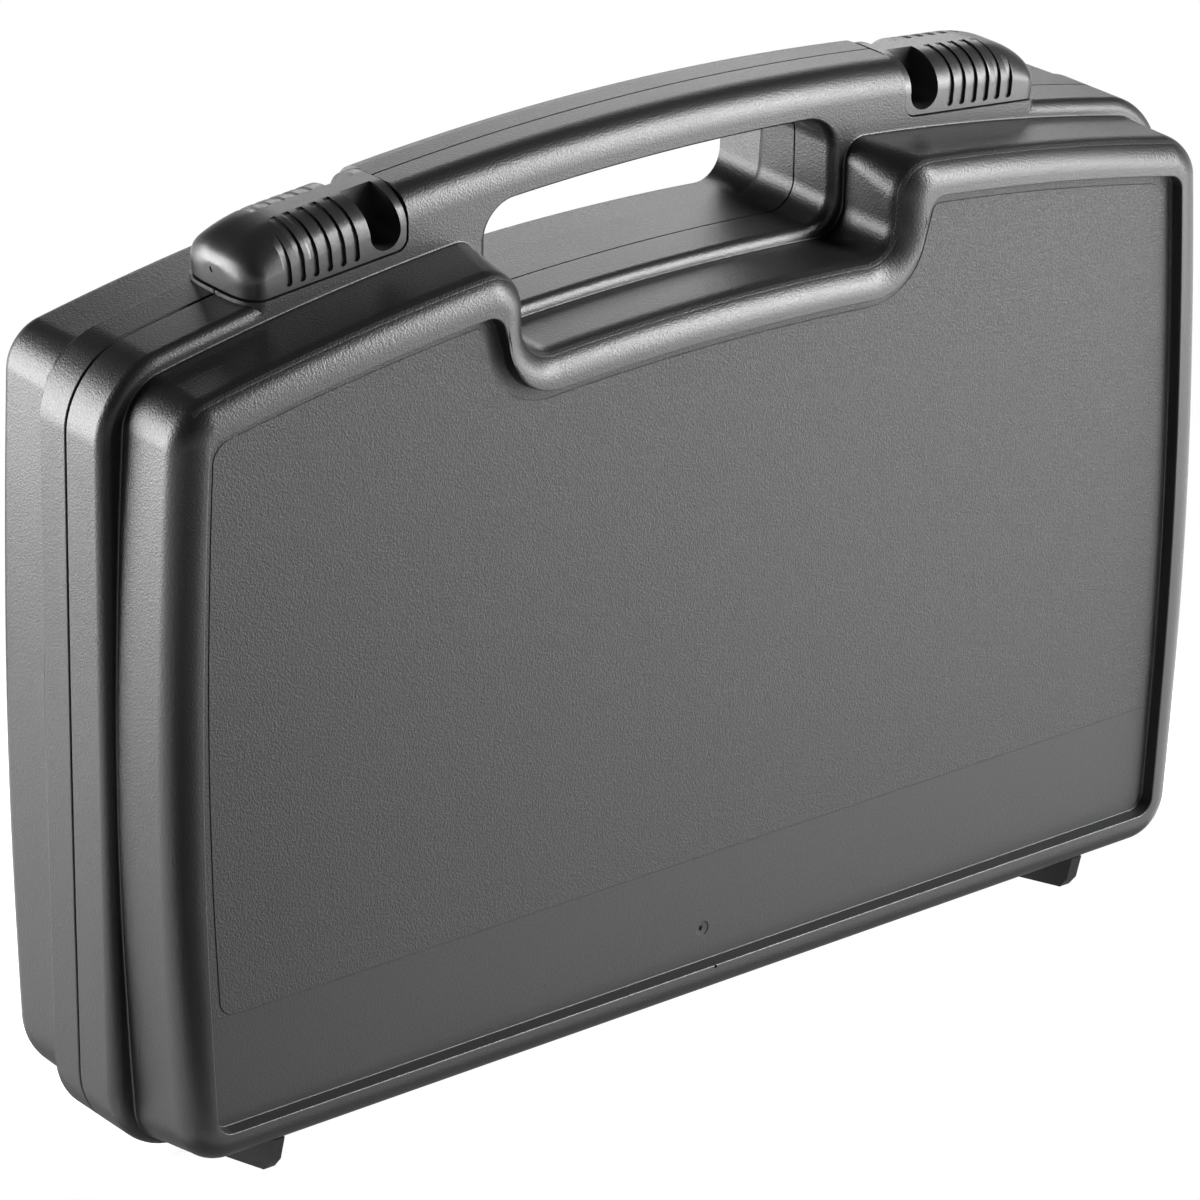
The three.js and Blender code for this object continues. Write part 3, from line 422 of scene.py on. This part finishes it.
def finish_mesh(piece, name, material, body, nodes, edge=0.0, sharp=34.0):
    """Breaks the edges, shades the faces and hands the piece to the frame."""
    piece.name = piece.data.name = name
    shape = bmesh.new()
    shape.from_mesh(piece.data)
    bmesh.ops.remove_doubles(shape, verts=shape.verts, dist=merge_distance)
    bmesh.ops.dissolve_degenerate(shape, dist=merge_distance, edges=shape.edges)
    shape.to_mesh(piece.data)
    shape.free()
    if edge:
        ease = piece.modifiers.new("edges", "BEVEL")
        ease.width, ease.segments, ease.limit_method = edge * mm, 2, "ANGLE"
        ease.angle_limit = math.radians(eased_angle)
        ease.use_clamp_overlap = True
        settle(piece)
    piece.data.shade_smooth()
    piece.data.set_sharp_from_angle(angle=math.radians(sharp))
    even = piece.modifiers.new("even_shading", "WEIGHTED_NORMAL")
    even.keep_sharp, even.weight = True, normal_weight
    settle(piece)
    piece.data.materials.clear()
    piece.data.materials.append(material)
    if nodes:
        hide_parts(*nodes)
    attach(piece, body)
    return piece


field_spec = dict(inset(crest_spec, field_inset), bottom=56.5, half=162.6, bow=2.6, top_radius=4.5,
                  bottom_radius=4.5)


def blend_specs(near, far, share):
    """The sizes of an outline that lies that share of the way from near to far."""
    return {key: value + (far[key] - value) * share for key, value in near.items()}


def front_wall_body():
    """The lid's wall: rings from the inside round the flange to the panel's field."""
    floor_back = front_depth - panel_depth - wall
    seat = inset(flange_spec, tongue_inset - fit)
    rings = [ring(inset(front_wall_spec, wall + cavity_round * (1 - s)), -(floor_back - cavity_round * c))
             for c, s in quarter(5)]
    rings += [ring(inset(front_wall_spec, wall), -(flange_front - wall / 2)),
              ring(inset(flange_spec, wall), -(flange_front - wall)),
              ring(inset(flange_spec, wall), -(tongue_depth + fit * 2)),
              ring(seat, -(tongue_depth + fit)), ring(seat, -fit),
              ring(inset(flange_spec, flange_ease), -fit)]
    rings += [ring(inset(flange_spec, flange_ease * (1 - s)), -(fit + flange_ease * c))
              for c, s in quarter(3)[1:]]
    rings += [ring(inset(flange_spec, flange_round * c), -(flange_front - flange_round * (1 - s)))
              for c, s in quarter(12)]
    rings += [ring(inset(front_wall_spec, -step_fillet * (1 - s)), -(flange_front + step_fillet * c))
              for c, s in quarter(4)]
    for share in between_shares:
        depth = flange_front + (front_depth - rim_round - flange_front) * share
        between = blend_specs(front_wall_spec, rim_wall_spec, share)
        rings.append(ring(inset(between, draft * share), -depth))
    rings += [ring(inset(rim_wall_spec, draft + rim_round * c), -(front_depth - rim_round * (1 - s)))
              for c, s in quarter(16)]
    rings += [ring(inset(crest_spec, -crest_ease * (1 - s)), -(front_depth - crest_ease * c))
              for c, s in quarter(5)]
    rings += [ring(inset(crest_spec, panel_draft + floor_fillet * c),
                   -(front_depth - panel_depth + floor_fillet * (1 - s))) for c, s in quarter(4)]
    rings += [ring(inset(field_spec, -field_edge), -(front_depth - panel_depth)),
              ring(field_spec, -(front_depth - panel_depth + field_rise))]
    return loft("front_wall", rings)


def handle_half(side):
    """One shell's half of the arched handle, split at the parting plane."""
    profile = rounded_path([
        (fit, flange_top - block_root, 0, 0, 1), (flange_front, front_wall_spec["top"], 0, 0, 1),
        (flange_front, handle_top, handle_round, 18, 4), (fit, handle_top, 0, 0, 2)])
    rings = []
    for x in np.linspace(-handle_end, handle_end, 57):
        across = np.full(len(profile), x)
        rings.append(np.column_stack((across, side * profile[:, 0], bend(x, profile[:, 1]))))
    return loft("handle", rings)


def hand_hole(side):
    """Cutter for the hand hole, which flares towards the outside."""

    def hole_ring(y, flare):
        low = flare if side < 0 else 0.0
        top = hole_top + flare * top_flare_share
        right = rounded_path([
            (0, hole_bottom - low, 0, 0, 1),
            (hole_half + low, hole_bottom - low, hole_radius + low, 14, 12),
            (hole_half + flare, top, hole_radius + flare, 14, 4),
            (0, top, 0, 0, 12)])
        flat = mirrored_loop(right)
        return np.column_stack((flat[:, 0], np.full(len(flat), y), bend(flat[:, 0], flat[:, 1])))

    far = flange_front if side < 0 else rear_depth
    rings = [hole_ring(-side * overrun, 0.0)]
    rings += [hole_ring(side * (flange_front - hole_flare * (1 - s)), hole_flare * c)
              for c, s in quarter(10)]
    rings.append(hole_ring(side * (far + overrun), hole_flare))
    return loft("hole", rings)


# The frame of a latch: x runs outwards along its travel, z is square to it.
latch_half, latch_height, latch_length, latch_side, latch_crown = 15.4, 15.2, 49.0, 6.0, 3.2
latch_bulge, end_curve, latch_tip, latch_dome, dome_length = 5.0, 3.5, 0.06, 9.3, 20.0
latch_base, latch_slope = 245.6, 0.094
latch_wall, latch_core, latch_corner, deck_gap, end_gap, strip_proud = 1.9, 2.7, 3.0, 0.45, 0.4, 0.4
latch_origin, latch_angle = handle_end + end_gap, math.atan(latch_slope)
seat_fillet, seat_end = latch_corner + deck_gap, latch_origin + latch_length + strip_proud


def deck_height(x):
    """The height of the sloping deck that a latch slides on."""
    return latch_base - deck_gap - latch_slope * (x - latch_origin)


def latch_plan(x, proud=0.0):
    """Half the width of a latch at x, which narrows along its rounded end."""
    share = min(max((x - latch_length - proud + latch_bulge) / latch_bulge, 0.0), 1.0)
    return (latch_half + proud) * (1 - share ** 2) ** (1 / end_curve)


def seat_height(x):
    """The deck with its fillet up to the handle's end."""
    run = min(max(handle_end + seat_fillet - x, 0.0), seat_fillet)
    return deck_height(x) + seat_fillet - math.sqrt(seat_fillet ** 2 - run ** 2)


def seat_stations():
    """Places along a seat: over its fillet, in its middle and round its end."""
    fillet = [handle_end + seat_fillet * c for c, s in quarter(10)]
    end = [seat_end - latch_bulge * (1 - k / 24) ** 2 for k in range(25)]
    return fillet + [(handle_end + seat_end) / 2] + end


def base_strip(side, hand):
    """The seat one latch slides on, on one shell."""
    rings = []
    for x in seat_stations():
        reach_y = max(latch_plan(x - latch_origin, strip_proud), fit * 2)
        low, high = bend(x, front_wall_spec["top"]), seat_height(x)
        section = ((fit, low), (reach_y, low), (reach_y, high), (fit, high))
        rings.append(np.array([(hand * x, side * y, z) for y, z in section]))
    return loft("strip", rings)


def seat_room(hand):
    """Cutter that clears the room above a latch's seat."""
    rings = []
    for x in seat_stations() + [seat_end + overrun]:
        reach_y, low, high = flange_front + overrun, seat_height(x), seat_height(x) + latch_height
        section = ((-reach_y, low), (reach_y, low), (reach_y, high), (-reach_y, high))
        rings.append(np.array([(hand * x, y, z) for y, z in section]))
    return loft("room", rings)


hinge_height, knuckle_radius, pin_radius, pin_fit = 6.6, 3.0, 1.5, 0.3
hinge_place, knuckle_length, knuckle_gap, knuckle_count, knuckle_web = 88.0, 8.0, 0.4, 5, 6.0
foot_place, foot_thickness, foot_heel, foot_flat_end = 140.7, 3.6, 8.0, 13.4
foot_toe, foot_toe_lift, foot_tip, foot_tip_lift, foot_front = 30.6, 3.6, 33.4, 7.0, 35.3
rear_foot_share, rear_foot_heel = 0.8, 10.4


def circle(steps, radius, across=0.0, up=0.0):
    turns = [k * 2 * math.pi / steps for k in range(steps)]
    return [(across + radius * math.cos(turn), up + radius * math.sin(turn)) for turn in turns]


def knuckles(side, place):
    """The knuckles of one shell at one hinge: every second one of the row."""
    pitch, bodies = knuckle_length + knuckle_gap, []
    for k in range(0 if side > 0 else 1, knuckle_count, 2):
        start = place + pitch * (k - knuckle_count / 2) + knuckle_gap / 2
        end = start + knuckle_length
        barrel = prism_x("barrel", circle(48, knuckle_radius, 0, hinge_height), start, end)
        web = prism_x("web", [
            (0, hinge_height - knuckle_radius / 2),
            (side * knuckle_radius, hinge_height - knuckle_radius / 2),
            (side * knuckle_web, flange_bottom + wall / 2), (side * fit * 2, flange_bottom + wall / 2),
            (side * fit * 2, flange_bottom - fit), (0, flange_bottom - fit)], start, end)
        bore_profile = circle(48, pin_radius + pin_fit, 0, hinge_height)
        bore = prism_x("bore", bore_profile, start - overrun, end + overrun)
        bodies.append(combine(combine(barrel, [web], "UNION"), [bore], "DIFFERENCE"))
    return bodies


def foot(side, place, root):
    """A fin foot from its heel by the hinge to its raised tip."""
    heel, share = (foot_heel, 1.0) if side < 0 else (rear_foot_heel, rear_foot_share)

    def along(y):
        return side * (heel + (y - foot_heel) * share)

    profile = [(along(foot_heel), 0), (along(foot_flat_end), 0), (along(foot_toe), foot_toe_lift),
               (along(foot_tip), foot_tip_lift), (along(foot_front), root), (along(foot_heel), root)]
    return prism_x("foot", profile, place - foot_thickness / 2, place + foot_thickness / 2)


def lip_groove():
    """Cutter for the groove that the other shell's lip enters."""
    spec = inset(flange_spec, tongue_inset - fit)
    return loft("groove", [ring(spec, overrun), ring(spec, -(tongue_depth + fit))])


def shell(side, body, wall_bottom, more):
    """A shell's wall with all that is moulded to it; more are further cutters."""
    hands = (-1, 1)
    adds = [handle_half(side)] + [base_strip(side, hand) for hand in hands]
    adds += [foot(side, hand * foot_place, wall_bottom + wall / 2) for hand in hands]
    combine(body, adds, "UNION")
    combine(body, [hand_hole(side)] + [seat_room(hand) for hand in hands] + more, "DIFFERENCE")
    combine(body, [k for hand in hands for k in knuckles(side, hand * hinge_place)], "UNION")
    return body


def turned(name, place, stations):
    """A round shape on an axis along y through place: rings of (radius, y)."""
    rings = [np.array([(x, y, z) for x, z in circle(32, radius, *place)]) for radius, y in stations]
    return loft(name, rings)


panel_y = -(front_depth - panel_depth)
gate_place, gate_radius, gate_sink, nub_radius, nub_height = (0.6, 34.3), 2.2, 0.4, 0.75, 0.25
nick_place, nick_radius = (2.3, 23.7), 0.5
dish_shares = ((1.0, 0.0), (0.9, 0.7), (0.5, 1.0), (0.1, 1.0))
nub_top_shares = (0.6, 0.2)
gate_dish = turned("gate", gate_place, [(gate_radius, panel_y - overrun)] + [
    (gate_radius * width_share, panel_y + gate_sink * sink_share) for width_share, sink_share in dish_shares])
nick = turned("nick", nick_place, [
    (nick_radius, -front_depth - overrun), (nick_radius, -front_depth + nick_radius)])
nub = turned("nub", gate_place, [
    (nub_radius, panel_y + 2 * gate_sink), (nub_radius, panel_y + gate_sink / 2),
    *[(nub_radius * share, panel_y - nub_height) for share in nub_top_shares]])
front_shell = shell(-1, front_wall_body(), front_wall_spec["bottom"], [lip_groove(), gate_dish, nick])
combine(front_shell, [nub], "UNION")
finish_mesh(front_shell, "front_shell_moulding", shell_plastic, "lid", ["front_shell"])


# Rear shell, the base: the same moulding in the shallower half, with a plain
# back face it can lie on, the lip that enters the lid, and two T rails that
# carry the latches.
rail_start, rail_end, rail_middle, rail_stem = 24.0, 38.0, 8.0, 0.9
rail_head, rail_neck, rail_top = 2.5, 3.0, 5.2
flange_rear, rear_shoulder, back_round, back_inset, back_draft = 11.3, 1.2, 4.5, 0.75, 0.4
back_lift, back_drop = 3.5, 0.8
back_wall_spec = dict(
    flange_spec, bow=3.0, top_radius=10.0, bottom_radius=20.5, half=flange_spec["half"] - back_inset,
    top=flange_top - back_inset - back_drop, bottom=flange_bottom + back_inset + back_lift,
    notch=flange_spec["notch"] + back_inset, floor=flange_spec["floor"] - back_inset,
    notch_radius=flange_spec["notch_radius"] + back_inset)


def rear_wall_body():
    """The base's wall: rings from the inside round the lip to the back."""
    wall_spec = inset(back_wall_spec, -back_draft)
    rings = [ring(inset(back_wall_spec, wall + cavity_round * (1 - s)), rear_depth - wall - cavity_round * c)
             for c, s in quarter(5)]
    rings += [ring(inset(back_wall_spec, wall), flange_rear),
              ring(inset(flange_spec, wall), flange_rear - wall),
              ring(inset(flange_spec, wall), -tongue_depth),
              ring(inset(flange_spec, tongue_inset), -tongue_depth),
              ring(inset(flange_spec, tongue_inset), fit), ring(inset(flange_spec, flange_ease), fit)]
    rings += [ring(inset(flange_spec, flange_ease * (1 - s)), fit + flange_ease * c)
              for c, s in quarter(3)[1:]]
    for share in np.linspace(0, 1, 9):
        fall = share * share * (3 - 2 * share)
        rings.append(ring(blend_specs(flange_spec, wall_spec, fall), flange_rear + rear_shoulder * share))
    for share in between_shares:
        depth = flange_rear + (rear_depth - back_round - flange_rear) * share
        rings.append(ring(blend_specs(wall_spec, back_wall_spec, share), depth))
    rings += [ring(inset(back_wall_spec, back_round * c), rear_depth - back_round * (1 - s))
              for c, s in quarter(14)]
    return loft("rear_wall", rings)


def latch_rail(hand):
    m, stem, head = rail_middle, rail_stem, rail_head
    profile = [(m - stem, -overrun), (m + stem, -overrun), (m + stem, rail_neck), (m + head, rail_neck),
               (m + head, rail_top), (m - head, rail_top), (m - head, rail_neck), (m - stem, rail_neck)]
    rings = []
    for x in (rail_start, rail_end):
        ring_points = []
        for y, z in profile:
            along = latch_origin + x * math.cos(latch_angle) + z * math.sin(latch_angle)
            up = latch_base - x * math.sin(latch_angle) + z * math.cos(latch_angle)
            ring_points.append((hand * along, y, up))
        rings.append(np.array(ring_points))
    return loft("rail", rings)


rear_shell = shell(1, rear_wall_body(), back_wall_spec["bottom"], [])
combine(rear_shell, [latch_rail(hand) for hand in (-1, 1)], "UNION")
finish_mesh(rear_shell, "rear_shell_moulding", shell_plastic, "base", ["rear_shell"])


# Latches: two smooth polypropylene saddles that slide outwards along the rails
# to free the lid; hollow caps with a domed end, finger notches and six grip
# grooves down each side.
notch_start, notch_radius, notch_floor = 1.3, 4.8, 1.2
groove_count, groove_first, groove_pitch, groove_width = 6, 15.7, 4.26, 2.2
groove_depth, groove_top_depth, groove_end, lip_height, latch_ease = 0.9, 0.4, 1.1, 2.4, 0.12
pip_place, pip_radius, pip_sink = (1.5, 4.6), 0.8, 0.35
latch_colour, latch_roughness, latch_grain, latch_relief = (0.017, 0.0172, 0.018), 0.34, 0.0007, 0.00002
latch_plastic = plastic_material(
    "dark_latch_plastic", latch_colour, latch_roughness, latch_grain, latch_relief)


def latch_section(half, height, side=0.0, top=0.0):
    """Half an oval on upright sides, as (y, z); side and top cut it smaller."""
    steps, squeeze, right = 24, half / latch_half, [(half - side, 0.0)]
    for k in range(steps + 1):
        angle = k / steps * math.pi / 2
        y = (latch_crown + (latch_half - latch_crown - side) * math.cos(angle)) * squeeze
        z = latch_side + (latch_height - latch_side - top) * math.sin(angle)
        right.append((y, z * height / latch_height))
    return right + [(-y, z) for y, z in right[::-1]]


no_shift = (0.0, 0.0, 0.0)


def latch_body():
    """The latch's outer form, from its sloped inner end over the domed outer end."""

    def place(x, section, lean=0.0):
        return np.array([(x - z * lean, y, z) for y, z in section])

    full = latch_section(latch_half, latch_height)
    rings = [place(0.0, full, latch_slope), place(notch_start, full)]
    dome_start, dome_steps = latch_length - dome_length, 26
    for k in range(dome_steps + 1):
        angle = k / dome_steps * math.pi / 2
        x = min(dome_start + dome_length * math.sin(angle), latch_length - latch_tip)
        height = latch_height - latch_dome * (1 - math.cos(angle))
        rings.append(place(x, latch_section(latch_plan(x), height)))
    return loft("latch", rings, no_shift)


def flat_prism(name, profile, low, high):
    """A profile drawn as (x, z), swept across the latch."""
    return loft(name, [np.array([(x, y, z) for x, z in profile]) for y in (low, high)], no_shift)


def long_prism(name, profile, low, high):
    """A profile drawn as (y, z), swept along the latch."""
    return loft(name, [np.array([(x, y, z) for y, z in profile]) for x in (low, high)], no_shift)


def groove_cutter(side):
    """A slot with a round foot, as deep as the groove below the latch's skin."""
    half_slot = groove_width / 2
    over = latch_section(latch_half + overrun, latch_height + overrun, -overrun, -overrun)
    floor = latch_section(latch_half, latch_height, groove_depth, groove_top_depth)
    count = len(over) // 2
    band = [(side * y, z) for y, z in over[:count] + floor[:count][::-1]]
    foot_turns = [math.pi * (1 + n / 14) for n in range(15)]
    slot = [(half_slot * math.cos(turn), groove_end + half_slot * (1 + math.sin(turn)))
            for turn in foot_turns]
    slot += [(half_slot, latch_height + overrun), (-half_slot, latch_height + overrun)]
    cutter = long_prism("groove", band, -groove_width, groove_width)
    lo, hi = sorted((side * latch_crown, side * (latch_half + overrun)))
    return combine(cutter, [flat_prism("slot", slot, lo, hi)], "INTERSECT")


def along_pitch(cutter, count, first, pitch, name):
    """Geometry Nodes: one cutter repeated along a straight row."""
    tree = bpy.data.node_groups.new(name, "GeometryNodeTree")
    tree.interface.new_socket("Geometry", in_out="INPUT", socket_type="NodeSocketGeometry")
    kinds = {"Count": "NodeSocketInt", "First": "NodeSocketFloat", "Pitch": "NodeSocketFloat"}
    sockets = {label: tree.interface.new_socket(label, in_out="INPUT", socket_type=kind)
               for label, kind in kinds.items()}
    tree.interface.new_socket("Geometry", in_out="OUTPUT", socket_type="NodeSocketGeometry")
    source, out = tree.nodes.new("NodeGroupInput"), tree.nodes.new("NodeGroupOutput")
    row, lay, real = (tree.nodes.new(kind) for kind in (
        "GeometryNodeMeshLine", "GeometryNodeInstanceOnPoints", "GeometryNodeRealizeInstances"))
    start, step, coat = (tree.nodes.new(kind) for kind in (
        "ShaderNodeCombineXYZ", "ShaderNodeCombineXYZ", "GeometryNodeSetMaterial"))
    coat.inputs["Material"].default_value = latch_plastic
    for a, b in ((source.outputs["Count"], row.inputs["Count"]),
                 (source.outputs["First"], start.inputs["X"]), (source.outputs["Pitch"], step.inputs["X"]),
                 (start.outputs[0], row.inputs["Start Location"]),
                 (step.outputs[0], row.inputs["Offset"]), (row.outputs[0], lay.inputs["Points"]),
                 (source.outputs["Geometry"], lay.inputs["Instance"]), (lay.outputs[0], real.inputs[0]),
                 (real.outputs[0], coat.inputs[0]), (coat.outputs[0], out.inputs[0])):
        tree.links.new(a, b)
    repeat = cutter.modifiers.new(name, "NODES")
    repeat.node_group = tree
    repeat[sockets["Count"].identifier] = count
    repeat[sockets["First"].identifier] = first * mm
    repeat[sockets["Pitch"].identifier] = pitch * mm
    return settle(cutter)


def latch(hand):
    """One latch, made for the right hand side, then flipped and put in its place."""
    inner, roof = latch_half - latch_wall, latch_height - latch_wall
    hollow_start = notch_start + 2 * notch_radius + latch_wall
    hollow_end = rail_end + 2 * fit
    body, cutters = latch_body(), []
    notch = [(notch_start + notch_radius * (1 + math.cos(turn)),
              notch_floor + notch_radius * (1 + math.sin(turn)))
             for turn in [math.pi * (1 + k / 24) for k in range(25)]]
    notch += [(notch_start + 2 * notch_radius, latch_height + overrun),
              (notch_start, latch_height + overrun)]
    for side in (-1, 1):
        lo, hi = sorted((side * (latch_core + fit), side * (latch_half + overrun)))
        cutters.append(flat_prism("notch", notch, lo, hi))
        cutters.append(long_prism("hollow", [
            (side * latch_core, -overrun), (side * inner, -overrun), (side * inner, latch_side),
            (side * (inner - latch_wall), roof - latch_wall), (side * (latch_crown + latch_wall), roof),
            (side * latch_core, roof)], hollow_start, hollow_end))
        cutter = groove_cutter(side)
        cutters.append(along_pitch(cutter, groove_count, groove_first, groove_pitch, "grip_grooves"))
    corner = [(-overrun, -overrun), (latch_corner, -overrun)]
    for k in range(13):
        angle = k / 12 * math.pi / 2
        corner.append((latch_corner * (1 - math.sin(angle)) - latch_slope * latch_corner * k / 12,
                       latch_corner * (1 - math.cos(angle))))
    corner.append((-overrun, latch_corner))
    cutters.append(flat_prism("corner", corner, -latch_half - overrun, latch_half + overrun))
    pip_profile = circle(20, pip_radius, *pip_place)
    cutters.append(long_prism("gate_pip", pip_profile, latch_length - pip_sink, latch_length + overrun))
    combine(body, cutters, "DIFFERENCE")
    slit_low, slit_high = rail_middle - rail_stem - fit, rail_middle + rail_stem + fit
    lips = [long_prism("lip", [(a, 0), (b, 0), (b, lip_height), (a, lip_height)],
                       hollow_start - fit, hollow_end + fit)
            for a, b in ((latch_core - fit, slit_low), (slit_high, inner + fit))]
    combine(body, lips, "UNION")
    turn = Matrix.Rotation(hand * latch_angle, 4, "Y")
    flip = Matrix.Diagonal((hand, 1, 1, 1))
    move = Matrix.Translation((hand * latch_origin * mm, parting_shift * mm, latch_base * mm))
    body.data.transform(move @ turn @ flip)
    if hand < 0:
        body.data.flip_normals()
    return body


for side_name, hand in (("left", -1), ("right", 1)):
    saddle = latch(hand)
    finish_mesh(saddle, f"{side_name}_latch_saddle", latch_plastic,
                f"{side_name}_latch_slider", [f"{side_name}_latch"], edge=latch_ease)


# Hinge pins: two straight lengths of drawn steel wire pressed into the outer
# knuckles; their drawing lines run along them.
pin_steel, wire = new_material("drawn_pin_steel")
line_scale, line_detail, line_depth, line_gloss = (60.0, 4000.0, 4000.0), 3.0, 0.00002, 0.16
steel_colour, steel_roughness = (0.58, 0.59, 0.6, 1.0), 0.24
wire_place = wire.node("ShaderNodeTexCoord").other_output("Object")
wire_place = wire.node("ShaderNodeMapping", None, {"Vector": wire_place, "Scale": line_scale})
lines = wire.node("ShaderNodeTexNoise", None, {"Vector": wire_place, "Scale": 1.0, "Detail": line_detail})
wire_bump = wire.node("ShaderNodeBump", None, {"Height": lines, "Distance": line_depth, "Strength": 1.0})
show_surface(pin_steel, wire.node("ShaderNodeBsdfPrincipled", None, {
    "Base Color": steel_colour, "Metallic": 1.0,
    "Roughness": steel_roughness + lines * line_gloss, "Normal": wire_bump}))
for node_name in ("left_hinge_pin", "right_hinge_pin"):
    for pin_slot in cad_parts[node_name].material_slots:
        pin_slot.material = pin_steel


# Foam set: a polyether foam pad glued in the base, a die-cut layer with two
# pockets on it, and a plain pad in the lid that holds the contents down.
foam_black, cells = new_material("black_open_cell_foam")
cell_scale, cell_depth, cell_rim, strand_share = 1300.0, 0.0005, 0.3, 0.12
foam_roughness, cell_gloss = 0.92, 0.04
# The strand colour is the foam's own; the darker hollow colour is painted shade inside the pores.
strand_colour, pore_painted_shade_colour = (0.028, 0.028, 0.03, 1.0), (0.009, 0.009, 0.01, 1.0)
cell_place = cells.node("ShaderNodeTexCoord").other_output("Object")
cell = cells.node("ShaderNodeTexVoronoi", {"feature": "F1"}, {"Vector": cell_place, "Scale": cell_scale})
cell_edge = cells.node("ShaderNodeTexVoronoi", {"feature": "DISTANCE_TO_EDGE"}, {
    "Vector": cell_place, "Scale": cell_scale})
# Painted shade: each cell darkens from its strands towards its hollow middle.
strand_and_pore_shade_tint = cells.node("ShaderNodeMix", {"data_type": "RGBA"}, {
    "Factor": cell_edge.ramp(0.0, strand_share), "A": strand_colour, "B": pore_painted_shade_colour}, 2)
cell_bump = cells.node("ShaderNodeBump", None, {
    "Height": cell_rim - cell_edge, "Distance": cell_depth, "Strength": 1.0})
show_surface(foam_black, cells.node("ShaderNodeBsdfPrincipled", None, {
    "Base Color": strand_and_pore_shade_tint, "Roughness": foam_roughness + cell * cell_gloss, "Normal": cell_bump}))

foam_gap, foam_skin, foam_face, lid_foam_face = 0.5, 6.5, 1.2, 8.0
foam_round, foam_sharp = 1.2, 50.0
pocket_radius, pocket_margin, pocket_top_margin, pocket_wall = 3.0, 22.0, 14.1, 20.9
unit_pocket_share = 0.6115
rear_foam = inset(back_wall_spec, wall + foam_gap + cavity_round)
front_foam = inset(front_wall_spec, wall + foam_gap + cavity_round)
rear_floor, front_floor = rear_depth - wall - foam_gap, front_depth - panel_depth - wall - foam_gap
skin_top = rear_floor - foam_skin


def foam_slab(name, spec, near, far):
    """A cut slab whose cut edge is a little soft; near is the face that shows."""
    step = 1.0 if far > near else -1.0
    rings = [ring(inset(spec, foam_round * (1 - s)), near + step * foam_round * c) for c, s in quarter(5)]
    rings += [ring(spec, far - step * foam_gap), ring(inset(spec, foam_gap), far)]
    return loft(name, rings)


def pocket(low_corner, high_corner, near, far):
    """Cutter for one pocket, whose mouth has the slab's soft edge."""
    (left, low), (right, high) = low_corner, high_corner
    middle = (left + right) / 2

    def pocket_ring(y, flare):
        radius = pocket_radius + flare
        loop = rounded_path([
            (middle, low - flare, 0, 0, 1), (right + flare, low - flare, radius, 10, 8),
            (right + flare, high + flare, radius, 10, 16), (left - flare, high + flare, radius, 10, 16),
            (left - flare, low - flare, radius, 10, 16), (middle, low - flare, 0, 0, 8)])[:-1]
        return np.column_stack((loop[:, 0], np.full(len(loop), y), loop[:, 1]))

    rings = [pocket_ring(near - overrun, foam_round)]
    rings += [pocket_ring(near + foam_round * c, foam_round * (1 - s)) for c, s in quarter(5)]
    return loft("pocket", rings + [pocket_ring(far, 0.0)])


left_end, right_end = -rear_foam["half"] + pocket_margin, rear_foam["half"] - pocket_margin
pocket_low = rear_foam["bottom"] + pocket_margin
pocket_high = rear_foam["floor"] - pocket_top_margin
unit_right = left_end + unit_pocket_share * (right_end - left_end)
pocket_layer = foam_slab("pocket_layer", rear_foam, foam_face, skin_top - fit)
combine(pocket_layer, [
    pocket((left_end, pocket_low), (unit_right, pocket_high), foam_face, skin_top + overrun),
    pocket((unit_right + pocket_wall, pocket_low), (right_end, pocket_high), foam_face, skin_top + overrun)],
    "DIFFERENCE")
backing_pad = foam_slab("backing_pad", rear_foam, skin_top, rear_floor)
lid_pad = foam_slab("lid_pad", front_foam, -lid_foam_face, -front_floor)
for foam_piece, label, foam_body, foam_node in (
        (pocket_layer, "base_foam_pocket_layer", "base", "base_foam_pockets"),
        (backing_pad, "base_foam_backing", "base", "base_foam_pad"),
        (lid_pad, "lid_foam", "lid", "lid_foam_pad")):
    finish_mesh(foam_piece, label, foam_black, foam_body, [foam_node], sharp=foam_sharp)
